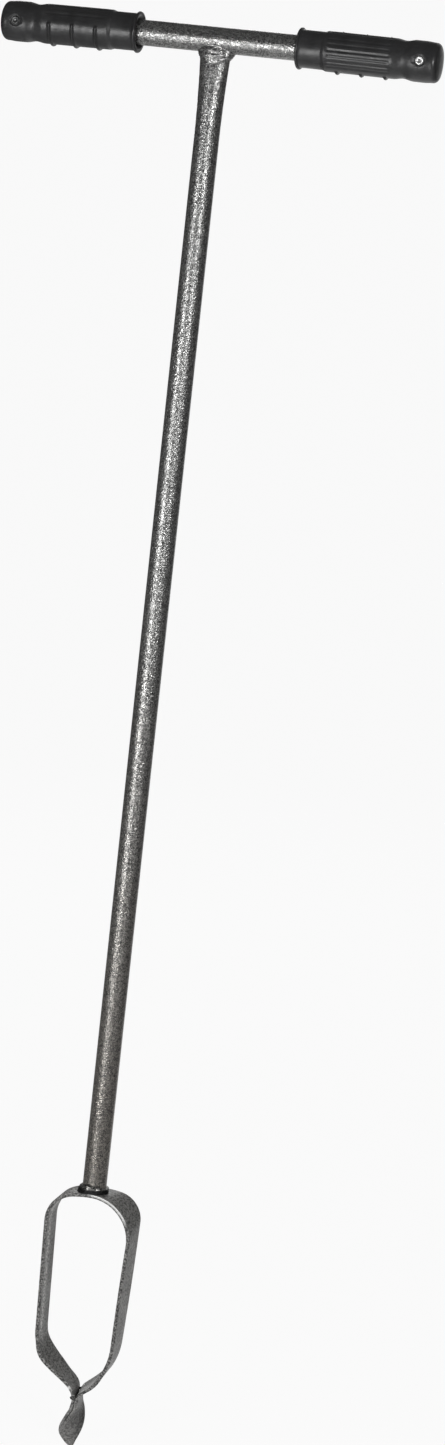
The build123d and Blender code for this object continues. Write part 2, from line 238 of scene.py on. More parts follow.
class TextureGroups:
    """Shader node groups that several finishes share."""

    WARP_SCALE = 0.55
    WARP_REACH = 1.4 * MM
    POOL_SMOOTHNESS = 0.35
    POOL_RIM = (0.12, 0.62)
    RIM_HEIGHT = 0.8
    DUST_SCALE = 1.9
    DUST_HEIGHT = 0.35
    CELL_FLECK = 0.2
    DUST_FLECK = 0.9
    FLECK_SPAN = (0.4, 0.72)
    SOFT_SPAN = (0.3, 0.7)

    @staticmethod
    def start(name: str, inputs: dict[str, float],
              outputs: tuple[str, ...]) -> tuple[NodeSheet, dict, dict]:
        """Open a new group.

        Args:
            name: Name of the group.
            inputs: Names of its number inputs, with their defaults.
            outputs: Names of its number outputs.

        Returns:
            The group's sheet, its input sockets and its output sockets, both by name.
        """
        tree = bpy.data.node_groups.new(name, "ShaderNodeTree")
        for label, value in inputs.items():
            socket = tree.interface.new_socket(label, in_out="INPUT", socket_type="NodeSocketFloat")
            socket.default_value = value
        for label in outputs:
            tree.interface.new_socket(label, in_out="OUTPUT", socket_type="NodeSocketFloat")
        sheet = NodeSheet(tree)
        source = sheet.add("NodeGroupInput")
        target = sheet.add("NodeGroupOutput")
        return sheet, dict(source.outputs.items()), dict(target.inputs.items())

    @classmethod
    def hammer_pools(cls) -> bpy.types.NodeTree:
        """Make the hammered texture: small pools of paint with flecks between them.

        Returns:
            Group with the input Scale and the outputs Height and Fleck.
        """
        sheet, given, result = cls.start("hammer_pools", {"Scale": 950.0}, ("Height", "Fleck"))
        place = sheet.place()
        coarse = sheet.math("MULTIPLY", given["Scale"], cls.WARP_SCALE)
        warp = sheet.add("ShaderNodeTexNoise", {"Vector": place, "Scale": coarse, "Detail": 1.0})
        middle = {0: warp.outputs["Color"], 1: (0.5, 0.5, 0.5)}
        shift = sheet.add("ShaderNodeVectorMath", middle, operation="SUBTRACT").outputs[0]
        reach = {0: shift, "Scale": cls.WARP_REACH}
        small = sheet.add("ShaderNodeVectorMath", reach, operation="SCALE").outputs[0]
        bent = sheet.add("ShaderNodeVectorMath", {0: place, 1: small}, operation="ADD").outputs[0]
        cells = {"Vector": bent, "Scale": given["Scale"], "Smoothness": cls.POOL_SMOOTHNESS}
        pools = sheet.add("ShaderNodeTexVoronoi", cells, feature="SMOOTH_F1").outputs
        fine = sheet.math("MULTIPLY", given["Scale"], cls.DUST_SCALE)
        specks = {"Vector": bent, "Scale": fine, "Detail": 2.0}
        dust = sheet.add("ShaderNodeTexNoise", specks).outputs["Fac"]
        rim = sheet.math("MULTIPLY", sheet.span(pools["Distance"], *cls.POOL_RIM), cls.RIM_HEIGHT)
        height = sheet.math("ADD", rim, sheet.math("MULTIPLY", dust, cls.DUST_HEIGHT))
        sheet.link(height, result["Height"])
        cell = sheet.add("ShaderNodeSeparateColor", {0: pools["Color"]}).outputs[0]
        cell = sheet.math("MULTIPLY", cell, cls.CELL_FLECK)
        fleck = sheet.math("ADD", cell, sheet.math("MULTIPLY", dust, cls.DUST_FLECK))
        sheet.link(sheet.span(fleck, *cls.FLECK_SPAN), result["Fleck"])
        return sheet.tree

    @classmethod
    def worked_grain(cls) -> bpy.types.NodeTree:
        """Make the fine grain and the soft clouds of a worked or moulded surface.

        Returns:
            Group with the inputs Scale and Cloud Scale and the outputs Grain and Cloud.
        """
        inputs = {"Scale": 900.0, "Cloud Scale": 40.0}
        sheet, given, result = cls.start("worked_grain", inputs, ("Grain", "Cloud"))
        place = sheet.place()
        for scale, output in (("Scale", "Grain"), ("Cloud Scale", "Cloud")):
            soft = sheet.add("ShaderNodeTexNoise", {"Vector": place, "Scale": given[scale], "Detail": 3.0})
            sheet.link(sheet.span(soft.outputs["Fac"], *cls.SOFT_SPAN), result[output])
        return sheet.tree


def new_material(name: str) -> tuple[bpy.types.Material, NodeSheet, bpy.types.Node]:
    """Start a material with one Principled shader.

    Args:
        name: Name of the material.

    Returns:
        The material, its node sheet and its shader node.
    """
    material = bpy.data.materials.new(name)
    material.use_nodes = True
    return material, NodeSheet(material.node_tree), material.node_tree.nodes["Principled BSDF"]


@dataclass(frozen=True)
class HammeredPaint:
    """Dark metallic enamel that dries in small hammered pools."""

    name: str
    dark: Colour
    light: Colour
    brown: Colour
    pool_scale: float = 820.0
    cloud_scale: float = 22.0
    depth: float = 0.2 * MM
    smooth: float = 0.23
    dull: float = 0.32
    brown_from: float = 0.75
    brown_to: float = 0.25
    metallic: float = 0.85
    specular: float = 0.4
    sooty: bool = False
    shade_and_darkening: Colour = (0.025, 0.025, 0.025)
    soot_dulling: float = 0.3

    def make(self, pools: bpy.types.NodeTree, grain: bpy.types.NodeTree) -> bpy.types.Material:
        """Build the paint; on a darkened piece it reads an attribute that darkens it, which paints shade at
        the lower bead's foot and darkens the tacks.

        Args:
            pools: Group with the hammered texture.
            grain: Group with grain and clouds.

        Returns:
            The finished material.
        """
        material, sheet, shader = new_material(self.name)
        hammer = sheet.add("ShaderNodeGroup", {"Scale": self.pool_scale}, node_tree=pools).outputs
        worked = sheet.add("ShaderNodeGroup", {"Cloud Scale": self.cloud_scale}, node_tree=grain).outputs
        height = sheet.add("ShaderNodeSeparateXYZ", {0: sheet.place()}).outputs["Z"]
        low = sheet.span(height, self.brown_from, self.brown_to)
        colour = sheet.blend(hammer["Fleck"], self.dark, sheet.blend(low, self.light, self.brown))
        gloss = sheet.span(worked["Cloud"], 0.0, 1.0, self.smooth, self.dull)
        if self.sooty:
            # Darkening: painted shade at the lower bead's foot, and darker tacks.
            shade_and_darkening = sheet.attribute("shade_and_darkening")
            colour = sheet.blend(shade_and_darkening, colour, self.shade_and_darkening)
            gloss = sheet.math("ADD", gloss, sheet.math("MULTIPLY", shade_and_darkening, self.soot_dulling))
        sheet.surface(shader, colour, gloss, hammer["Height"], self.depth)
        shader.inputs["Metallic"].default_value = self.metallic
        shader.inputs["Specular IOR Level"].default_value = self.specular
        return material


@dataclass(frozen=True)
class SatinSteel:
    """Dark rolled strip with fine grain and scale on its sheared edges, with painted highlights, a painted
    sheen and darkening that is partly painted shade.
    """

    name: str
    face: Colour
    worn: Colour
    scale: Colour
    bright: Colour
    grain_scale: float = 560.0
    cloud_scale: float = 60.0
    dim_share: float = 0.3
    dim_span: Pair = (0.2, 0.8)
    speckle_span: Pair = (0.2, 0.75)
    speckle_least: float = 0.25
    smooth: float = 0.4
    dull: float = 0.54
    depth: float = 0.05 * MM
    metallic: float = 0.2
    specular: float = 0.5

    def make(self, grain: bpy.types.NodeTree) -> bpy.types.Material:
        """Build the steel; it reads the strip's attributes for its sheared edges, its painted highlights,
        its painted sheen and its darkening, which is partly painted shade.

        Args:
            grain: Group with grain and clouds.

        Returns:
            The finished material.
        """
        material, sheet, shader = new_material(self.name)
        scales = {"Scale": self.grain_scale, "Cloud Scale": self.cloud_scale}
        worked = sheet.add("ShaderNodeGroup", scales, node_tree=grain).outputs
        dim = tuple(self.dim_share * part for part in self.face)
        # Painted sheen: a paler colour on the left leg's band and on the up-facing left crest, where light
        # falls.
        full = sheet.blend(sheet.attribute("pale"), self.face, self.worn)
        rolled = sheet.blend(sheet.span(worked["Grain"], *self.dim_span), dim, full)
        # Darkening: the scale colour darkens the leaf and paints shade on its right part and on the rear of
        # the left leg.
        rolled = sheet.blend(sheet.attribute("shade_and_darkening"), rolled, self.scale)
        flakes = sheet.span(worked["Grain"], *self.speckle_span, 1.0, self.speckle_least)
        speckle = sheet.math("MULTIPLY", sheet.attribute("edge"), flakes)
        sheared = sheet.blend(speckle, rolled, self.scale)
        # Painted highlights: near-white colour on the crown's edge, in a small glint and in the throat.
        colour = sheet.blend(sheet.attribute("painted_highlight"), sheared, self.bright)
        gloss = sheet.span(worked["Cloud"], 0.0, 1.0, self.smooth, self.dull)
        sheet.surface(shader, colour, gloss, worked["Grain"], self.depth)
        shader.inputs["Metallic"].default_value = self.metallic
        shader.inputs["Specular IOR Level"].default_value = self.specular
        return material


@dataclass(frozen=True)
class MouldedRubber:
    """Black satin rubber with a faint moulded skin."""

    name: str
    black: Colour
    grey: Colour
    grain_scale: float = 1500.0
    cloud_scale: float = 90.0
    smooth: float = 0.28
    dull: float = 0.42
    depth: float = 0.014 * MM
    cloud_relief: float = 14.0
    specular: float = 0.5

    def make(self, grain: bpy.types.NodeTree) -> bpy.types.Material:
        """Build the rubber.

        Args:
            grain: Group with grain and clouds.

        Returns:
            The finished material.
        """
        material, sheet, shader = new_material(self.name)
        scales = {"Scale": self.grain_scale, "Cloud Scale": self.cloud_scale}
        worked = sheet.add("ShaderNodeGroup", scales, node_tree=grain).outputs
        colour = sheet.blend(worked["Cloud"], self.black, self.grey)
        gloss = sheet.span(worked["Cloud"], 0.0, 1.0, self.smooth, self.dull)
        swell = sheet.math("MULTIPLY", worked["Cloud"], self.cloud_relief)
        sheet.surface(shader, colour, gloss, sheet.math("ADD", worked["Grain"], swell), self.depth)
        shader.inputs["Specular IOR Level"].default_value = self.specular
        return material


@dataclass(frozen=True)
class RivetMetal:
    """Bare metal of the rivets, with a turned grain."""

    name: str
    pale: Colour
    dark: Colour
    smooth: float
    dull: float
    grain_scale: float = 2600.0
    cloud_scale: float = 500.0
    depth: float = 0.02 * MM

    def make(self, grain: bpy.types.NodeTree) -> bpy.types.Material:
        """Build the metal.

        Args:
            grain: Group with grain and clouds.

        Returns:
            The finished material.
        """
        material, sheet, shader = new_material(self.name)
        scales = {"Scale": self.grain_scale, "Cloud Scale": self.cloud_scale}
        worked = sheet.add("ShaderNodeGroup", scales, node_tree=grain).outputs
        colour = sheet.blend(worked["Cloud"], self.pale, self.dark)
        gloss = sheet.span(worked["Grain"], 0.0, 1.0, self.smooth, self.dull)
        sheet.surface(shader, colour, gloss, worked["Grain"], self.depth)
        shader.inputs["Metallic"].default_value = 1.0
        return material


PAINT = HammeredPaint("hammered_paint", dark=(0.07, 0.07, 0.07), light=(0.52, 0.52, 0.51),
                      brown=(0.42, 0.39, 0.35))
# The weld skin reads the darkening attribute: painted shade at the lower bead's foot, and darker tacks.
WELD_SKIN = HammeredPaint("weld_skin", dark=(0.06, 0.06, 0.06), light=(0.42, 0.42, 0.42),
                          brown=(0.4, 0.39, 0.37), pool_scale=500.0, depth=0.1 * MM, smooth=0.2, dull=0.34,
                          sooty=True)
# The strip's near-white colour paints its highlights, its pale colour paints a sheen, and its scale colour
# also paints shade.
STRIP_STEEL = SatinSteel("rolled_strip", face=(0.38, 0.374, 0.362), worn=(0.9, 0.885, 0.86),
                         scale=(0.025, 0.025, 0.025), bright=(0.82, 0.82, 0.81))
RUBBER = MouldedRubber("moulded_rubber", black=(0.022, 0.022, 0.0225), grey=(0.036, 0.036, 0.037))
ALUMINIUM = RivetMetal("bare_aluminium", pale=(0.86, 0.86, 0.85), dark=(0.6, 0.6, 0.6),
                       smooth=0.28, dull=0.45)
MANDREL_STEEL = RivetMetal("broken_mandrel", pale=(0.4, 0.4, 0.4), dark=(0.2, 0.2, 0.2),
                           smooth=0.35, dull=0.5)
# Painted shade: a darkened copy of the rivet aluminium for the left rivet, which reflects less light than
# the right one.
SHADED_RIVET = RivetMetal("shaded_aluminium", pale=(0.13, 0.13, 0.13), dark=(0.05, 0.05, 0.05),
                     smooth=0.35, dull=0.5)


class Finishes:
    """All finishes of the tool, by material slot."""

    def __init__(self) -> None:
        """Make the shared groups and every material."""
        pools = TextureGroups.hammer_pools()
        grain = TextureGroups.worked_grain()
        self.tarnish = SHADED_RIVET.make(grain)
        self.materials = {
            Slot.PAINT: PAINT.make(pools, grain),
            Slot.WELD: WELD_SKIN.make(pools, grain),
            Slot.STEEL: STRIP_STEEL.make(grain),
            Slot.RUBBER: RUBBER.make(grain),
            Slot.RIVET: ALUMINIUM.make(grain),
            Slot.MANDREL: MANDREL_STEEL.make(grain),
        }

    def dress(self, node: str, slot: Slot) -> bpy.types.Object:
        """Give a CAD node its finish.

        Args:
            node: Name of the CAD node.
            slot: Slot whose finish it takes.

        Returns:
            The node's object.
        """
        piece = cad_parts[node]
        piece.data.materials.clear()
        piece.data.materials.append(self.materials[slot])
        LOG.info("dressed %s in %s", node, slot.value)
        return piece

    def piece(self, name: str, bm: bmesh.types.BMesh, slot: Slot, node: str,
              sharp: float | None = None) -> bpy.types.Object:
        """Finish a mesh as a piece that rides on the tool and stands for a CAD node.

        Args:
            name: Name of the piece.
            bm: Its mesh in the frame, which is freed.
            slot: Slot whose finish it takes.
            node: CAD node that it replaces.
            sharp: Degrees above which an edge stays sharp, or None for a soft piece.

        Returns:
            The new object.
        """
        bmesh.ops.remove_doubles(bm, verts=bm.verts[:], dist=SEAM)
        bmesh.ops.recalc_face_normals(bm, faces=bm.faces[:])
        mesh = bpy.data.meshes.new(name)
        bm.to_mesh(mesh)
        bm.free()
        mesh.shade_smooth()
        if sharp is not None:
            mesh.set_sharp_from_angle(angle=math.radians(sharp))
        mesh.materials.append(self.materials[slot])
        made = bpy.data.objects.new(name, mesh)
        bpy.context.scene.collection.objects.link(made)
        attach(made, "root")
        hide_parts(node)
        LOG.info("built %s with %d faces for %s", name, len(mesh.polygons), node)
        return made


def wrapped_sheet(around: int, across: int, place: Callable[[float, float], Vector]) -> bmesh.types.BMesh:
    """Bend a grid into a closed ring whose section is closed too.

    Args:
        around: Steps round the ring.
        across: Steps round the section.
        place: Point of the ring for two shares, round the ring and round the section.

    Returns:
        The ring's mesh, with its seams merged.
    """
    bm = bmesh.new()
    bmesh.ops.create_grid(bm, x_segments=around, y_segments=across, size=0.5)
    for vert in bm.verts:
        vert.co = place((vert.co.x + 0.5) % 1.0, (vert.co.y + 0.5) % 1.0)
    bmesh.ops.remove_doubles(bm, verts=bm.verts[:], dist=SEAM)
    return bm


def turned_shape(points: list[Point], centre: Point, axis: Point, steps: int) -> bmesh.types.BMesh:
    """Turn an open line of points about an axis.

    Args:
        points: Points of the line.
        centre: Place on the axis.
        axis: Direction of the axis.
        steps: Steps round the axis.

    Returns:
        The turned mesh, with its seam and its poles merged.
    """
    bm = bmesh.new()
    verts = [bm.verts.new(point) for point in points]
    edges = [bm.edges.new(pair) for pair in zip(verts, verts[1:])]
    bmesh.ops.spin(bm, geom=verts + edges, cent=centre, axis=axis, angle=2 * math.pi, steps=steps,
                   use_merge=True)
    bmesh.ops.remove_doubles(bm, verts=bm.verts[:], dist=TURNED_SEAM)
    return bm


def buried(start: Vector, root: Vector, end: Vector, share: float) -> Vector:
    """Point on the part of a bead's section that lies in the joint.

    Args:
        start: Toe where the bead's skin ends.
        root: Innermost point of the section.
        end: Toe where the skin begins.
        share: Share of the way from start over root to end.

    Returns:
        The point.
    """
    return start.lerp(root, min(2 * share, 1.0)).lerp(end, max(2 * share - 1, 0.0))


@dataclass
class WeldedTubes:
    """Crossbar and shaft in hammered paint, with the lumpy beads that join them and hold the bow."""

    finishes: Finishes
    bead_steps: int = 220
    section_steps: int = 56
    press_length: float = 70.0 * MM
    press_depth: float = 7.5 * MM
    top_leg: float = 2.9 * MM
    top_leg_skew: float = 0.9 * MM
    top_drop_side: float = 5.2 * MM
    top_drop_front: float = 9.0 * MM
    top_front_reach: float = 9.3 * MM
    top_bulge: float = 0.9 * MM
    top_side_bulge: float = 0.16
    top_side_tilt: float = 0.5
    top_root_width: float = 0.93
    top_root_depth: float = 0.9
    top_root_rise: float = 0.55
    ripple: float = 0.26 * MM
    ripple_rows: float = 3.2
    ripple_sag: float = 0.35
    ripple_wander: float = 2.2
    wander_size: float = 5.0 * MM
    wave_share: float = 0.7
    lump_share: float = 1.6
    lump_size: float = 2.2 * MM
    bow_leg: float = 2.5 * MM
    bow_leg_wobble: float = 0.22
    bow_skew: float = 1.6 * MM
    bow_height: float = 4.4 * MM
    bow_height_wobble: float = 0.16
    bow_front_rise: float = 3.0 * MM
    bow_bulge: float = 1.2 * MM
    bow_bulge_power: float = 1.7
    bow_bulge_lift: float = 0.5
    bow_root: float = 0.94
    bow_ripple: float = 1.3
    wobble_ring: float = 7.0 * MM
    wobble_size: float = 4.0 * MM
    # painted shade at the lower bead's foot: where it begins, where it is full and how its edge wanders
    soot_from: float = 4.6 * MM
    soot_full: float = 2.6 * MM
    soot_wander: float = 1.2 * MM
    soot_lump: float = 3.0 * MM
    crown_radius: float = CROWN_RADIUS
    crown_tilt: float = CROWN_TILT

    def __post_init__(self) -> None:
        """Read the tubes' places from the frame."""
        low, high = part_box("crossbar_tube")
        self.radius = (high.z - low.z) / 2
        self.bar_height = (high.z + low.z) / 2
        self.underside = low.z
        self.press_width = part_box("shaft_tube")[1].x
        rise = self.crown_radius * (1 - math.cos(math.radians(self.crown_tilt)))
        self.bow_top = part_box("auger_bow")[1].z - rise

    def shaft_side(self, height: float) -> Pair:
        """Half width and half depth of the shaft, whose top end is pressed flatter.

        Args:
            height: Height in the frame.

        Returns:
            Half width along the crossbar and half depth.
        """
        share = min(max(1 - (self.underside - height) / self.press_length, 0.0), 1.0) ** 2
        wide = self.radius + (self.press_width - self.radius) * share
        return wide, self.radius + (self.press_depth - self.radius) * share

    def build(self) -> None:
        """Dress the tubes and build both beads."""
        self.finishes.dress("crossbar_tube", Slot.PAINT)
        self.finishes.dress("shaft_tube", Slot.PAINT)
        self.finishes.piece("crossbar_weld_bead", self.top_bead(), Slot.PAINT, "crossbar_weld")
        self.finishes.piece("bow_weld_bead", self.bow_bead(), Slot.WELD, "bow_weld")

    def ripples(self, turn: float, share: float, spot: Vector) -> float:
        """Height of the weld's ripples and lumps at a place on its skin.

        Args:
            turn: Angle round the shaft.
            share: Place across the bead, 0 at one toe and 1 at the other.
            spot: Place in the frame.

        Returns:
            Height above the smooth bead.
        """
        rise = share - self.ripple_sag * math.cos(turn) ** 2
        wander = self.ripple_wander * lumps(spot, self.wander_size)
        wave = math.sin(2 * math.pi * self.ripple_rows * rise + wander)
        uneven = self.wave_share * wave + self.lump_share * lumps(spot, self.lump_size)
        return self.ripple * uneven * math.sin(math.pi * share) ** 0.5

    def top_bead(self) -> bmesh.types.BMesh:
        """Bead between the shaft and the crossbar's underside."""
        return wrapped_sheet(self.bead_steps, self.section_steps, self.top_point)

    def top_point(self, round_share: float, section: float) -> Vector:
        """Point of the upper bead; half of its section is its skin and the rest lies in the joint.

        Args:
            round_share: Share of the way round the shaft.
            section: Share of the way round the bead's section.

        Returns:
            The point.
        """
        turn = 2 * math.pi * round_share
        along, across = math.cos(turn), math.sin(turn)
        front = across * across
        drop = self.top_drop_side + (self.top_drop_front - self.top_drop_side) * front
        wide, deep = self.shaft_side(self.underside - drop)
        toe = Vector((wide * along, deep * across, self.underside - drop))
        rim_y = self.top_front_reach * across
        rim_x = (self.press_width + self.top_leg + self.top_leg_skew * along) * along
        rim_z = self.bar_height - math.sqrt(self.radius ** 2 - rim_y ** 2)
        rim = Vector((rim_x, rim_y, rim_z))
        if section > 0.5:
            root_z = toe.z + self.top_root_rise * (rim_z - toe.z)
            root = Vector((self.top_root_width * wide * along, self.top_root_depth * deep * across, root_z))
            return buried(rim, root, toe, 2 * section - 1)
        share = 2 * section
        outward = Vector((along, across, -self.top_side_tilt * (1 - front))).normalized()
        fullness = self.top_side_bulge + (1 - self.top_side_bulge) * front
        bulge = self.top_bulge * fullness * math.sin(math.pi * share) ** 2
        spot = toe.lerp(rim, share)
        return spot + outward * (bulge + self.ripples(turn, share, spot))

    def bow_bead(self) -> bmesh.types.BMesh:
        """Bead round the shaft's lower end on the crown of the bow.

        Returns:
            The bead's mesh, with its attribute for darkening, which paints shade towards its foot on the
            crown.
        """
        bm = wrapped_sheet(self.bead_steps, self.section_steps, self.bow_point)
        # painted shade towards the bead's foot on the crown
        shade_and_darkening = bm.verts.layers.float.new("shade_and_darkening")
        for vert in bm.verts:
            height = vert.co.z - self.bow_top + self.soot_wander * lumps(vert.co, self.soot_lump)
            vert[shade_and_darkening] = ease(self.soot_from, self.soot_full, height)
        return bm

    def bow_point(self, round_share: float, section: float) -> Vector:
        """Point of the lower bead; half of its section is its skin and the rest lies in the joint.

        Args:
            round_share: Share of the way round the shaft.
            section: Share of the way round the bead's section.

        Returns:
            The point.
        """
        turn = 2 * math.pi * round_share
        outward = Vector((math.cos(turn), math.sin(turn), 0.0))
        wobble = lumps(outward * self.wobble_ring, self.wobble_size)
        leg = self.bow_leg * (1 + self.bow_leg_wobble * wobble) + self.bow_skew * max(-outward.x, 0.0)
        height = self.bow_height + self.bow_front_rise * max(-outward.y, 0.0) ** 2
        top = self.bow_top + height * (1 + self.bow_height_wobble * wobble)
        reach = self.radius + leg
        rise = reach * outward.x * math.sin(math.radians(self.crown_tilt))
        sag = self.crown_radius - math.sqrt(self.crown_radius ** 2 - (reach * outward.x) ** 2)
        seat = Vector((0.0, 0.0, self.bow_top + rise - sag))
        foot = outward * reach + seat
        toe = outward * self.radius + Vector((0.0, 0.0, top))
        if section > 0.5:
            return buried(toe, outward * (self.bow_root * self.radius) + seat, foot, 2 * section - 1)
        share = 2 * section
        spot = foot.lerp(toe, share)
        swell = self.bow_bulge * math.sin(math.pi * share ** self.bow_bulge_power)
        lean = (outward + Vector((0.0, 0.0, self.bow_bulge_lift))).normalized()
        return spot + lean * (swell + self.bow_ripple * self.ripples(turn, share, spot))


class StripRun:
    """Half of the bow in the making: an open loop of edges that is led along the strip's path."""

    def __init__(self, bm: bmesh.types.BMesh, verts: list[bmesh.types.BMVert], place: Matrix) -> None:
        """Close the section's points into a loop at its first place.

        Args:
            bm: Mesh that the strip grows in.
            verts: Points of the section, in order.
            place: Place of the section, with its X along the strip.
        """
        self.bm = bm
        self.place = place
        pairs = zip(verts, verts[1:] + verts[:1])
        self.loop = [bm.edges.new(pair) for pair in pairs]

    def carry(self, change: Matrix) -> None:
        """Extrude the loop by one step and move the new edge ring.

        Args:
            change: Move from the old ring to the new one.
        """
        made = bmesh.ops.extrude_edge_only(self.bm, edges=self.loop)["geom"]
        verts = [part for part in made if isinstance(part, bmesh.types.BMVert)]
        self.loop = [part for part in made if isinstance(part, bmesh.types.BMEdge)]
        bmesh.ops.transform(self.bm, matrix=change, verts=verts)

    def straight(self, length: float, steps: int) -> None:
        """Lead the strip straight on.

        Args:
            length: Length of the stretch.
            steps: Rings along it.
        """
        for _ in range(steps):
            moved = self.place @ Matrix.Translation((length / steps, 0.0, 0.0))
            self.carry(moved @ self.place.inverted())
            self.place = moved

    def bend(self, radius: float, degrees: float, steps: int) -> None:
        """Lead the strip round a bend.

        Args:
            radius: Radius of the strip's middle.
            degrees: Angle of the bend, positive towards the strip's underside.
            steps: Rings along it.
        """
        side = -radius if degrees > 0 else radius
        centre = self.place @ Vector((0.0, 0.0, side))
        axis = self.place.to_3x3() @ Vector((0.0, 1.0, 0.0))
        angle = math.radians(degrees)
        made = bmesh.ops.spin(self.bm, geom=self.loop, cent=centre, axis=axis, angle=angle, steps=steps)
        self.loop = [part for part in made["geom_last"] if isinstance(part, bmesh.types.BMEdge)]
        turned = Matrix.Rotation(angle, 4, "Y")
        out, back = Matrix.Translation((0, 0, side)), Matrix.Translation((0, 0, -side))
        self.place = self.place @ out @ turned @ back


@dataclass(frozen=True)
class Lean:
    """Place where a strip is turned a little about its own middle, fading over a run up and down."""

    height: float
    run: float
    degrees: float
    rear_share: float = 1.0

    def shift(self, spot: Vector) -> float:
        """How far the lean moves a point of the strip outwards.

        Args:
            spot: Point of the strip before it is turned.

        Returns:
            Outward shift of the point.
        """
        depth = spot.y if spot.y < 0 else spot.y * self.rear_share
        return depth * math.tan(math.radians(self.degrees)) * hump(spot.z - self.height, self.run)


@dataclass(frozen=True)
class SideBends:
    """Bends of one side of the bow, drawn to +X from the crown; its radii belong to the outer face."""

    side: Side
    half_span: float
    crown_fall: float
    corner_radius: float
    leg_length: float
    leg_taper: float
    bend_radius: float
    slope_angle: float
    return_radius: float
    corner_flare: float = 0.0
    leans: tuple[Lean, ...] = ()

    def corner_start(self, crown_radius: float) -> float:
        """Degrees that the crown falls where the corner begins.

        Args:
            crown_radius: Radius of the crown.

        Returns:
            The angle.
        """
        run = self.half_span - self.corner_radius + crown_radius * math.sin(math.radians(self.crown_fall))
        return math.degrees(math.asin(run / (crown_radius - self.corner_radius)))

    def corner_drop(self, crown_radius: float) -> float:
        """Height from the crown down to the top of the leg.

        Args:
            crown_radius: Radius of the crown.

        Returns:
            The height.
        """
        fall, taper = math.radians(self.crown_fall), math.radians(self.leg_taper)
        start = math.radians(self.corner_start(crown_radius))
        crown = crown_radius * (math.cos(fall) - math.cos(start))
        return crown + self.corner_radius * (math.cos(start) + math.sin(taper))

    def slope_length(self, reach: float) -> float:
        """Length of the straight stretch between the lower bend and the return bend.

        Args:
            reach: Distance from the shaft's axis to the outer face of the ply.

        Returns:
            The length.
        """
        taper, lower = math.radians(self.leg_taper), math.radians(self.slope_angle)
        spot = self.half_span - self.corner_radius * (1 - math.cos(taper))
        spot -= self.leg_length * math.sin(taper)
        spot -= self.bend_radius * (math.cos(taper) - math.cos(lower))
        return (spot - reach - self.return_radius * (1 - math.cos(lower))) / math.sin(lower)

    def lean(self, spot: Vector) -> float:
        """How far all leans together move a point outwards."""
        return sum(lean.shift(spot) for lean in self.leans)

    def flared(self, crown_radius: float) -> "SideBends":
        """The same side along the strip's front edge, where its corner is rounder.

        Args:
            crown_radius: Radius of the crown.

        Returns:
            The bends of the front edge, which meet the same leg.
        """
        rounder = replace(self, corner_radius=self.corner_radius + self.corner_flare)
        lower = rounder.corner_drop(crown_radius) - self.corner_drop(crown_radius)
        shorter = self.leg_length - lower / math.cos(math.radians(self.leg_taper))
        return replace(rounder, leg_length=shorter)


LEFT_BENDS = SideBends(Side.LEFT, half_span=36.75 * MM, crown_fall=CROWN_TILT, corner_radius=27.5 * MM,
                       leg_length=96.2 * MM, leg_taper=1.3, bend_radius=38.8 * MM, slope_angle=49.3,
                       return_radius=20.9 * MM,
                       leans=(Lean(74.0 * MM, 16.0 * MM, -11.0), Lean(52.0 * MM, 14.0 * MM, 12.0, -0.15)))
RIGHT_BENDS = SideBends(Side.RIGHT, half_span=39.15 * MM, crown_fall=-CROWN_TILT, corner_radius=21.9 * MM,
                        leg_length=104.7 * MM, leg_taper=2.4, bend_radius=58.3 * MM, slope_angle=50.0,
                        return_radius=9.4 * MM, corner_flare=15.0 * MM,
                        leans=(Lean(57.0 * MM, 16.0 * MM, -8.0), Lean(150.0 * MM, 95.0 * MM, 3.5)))


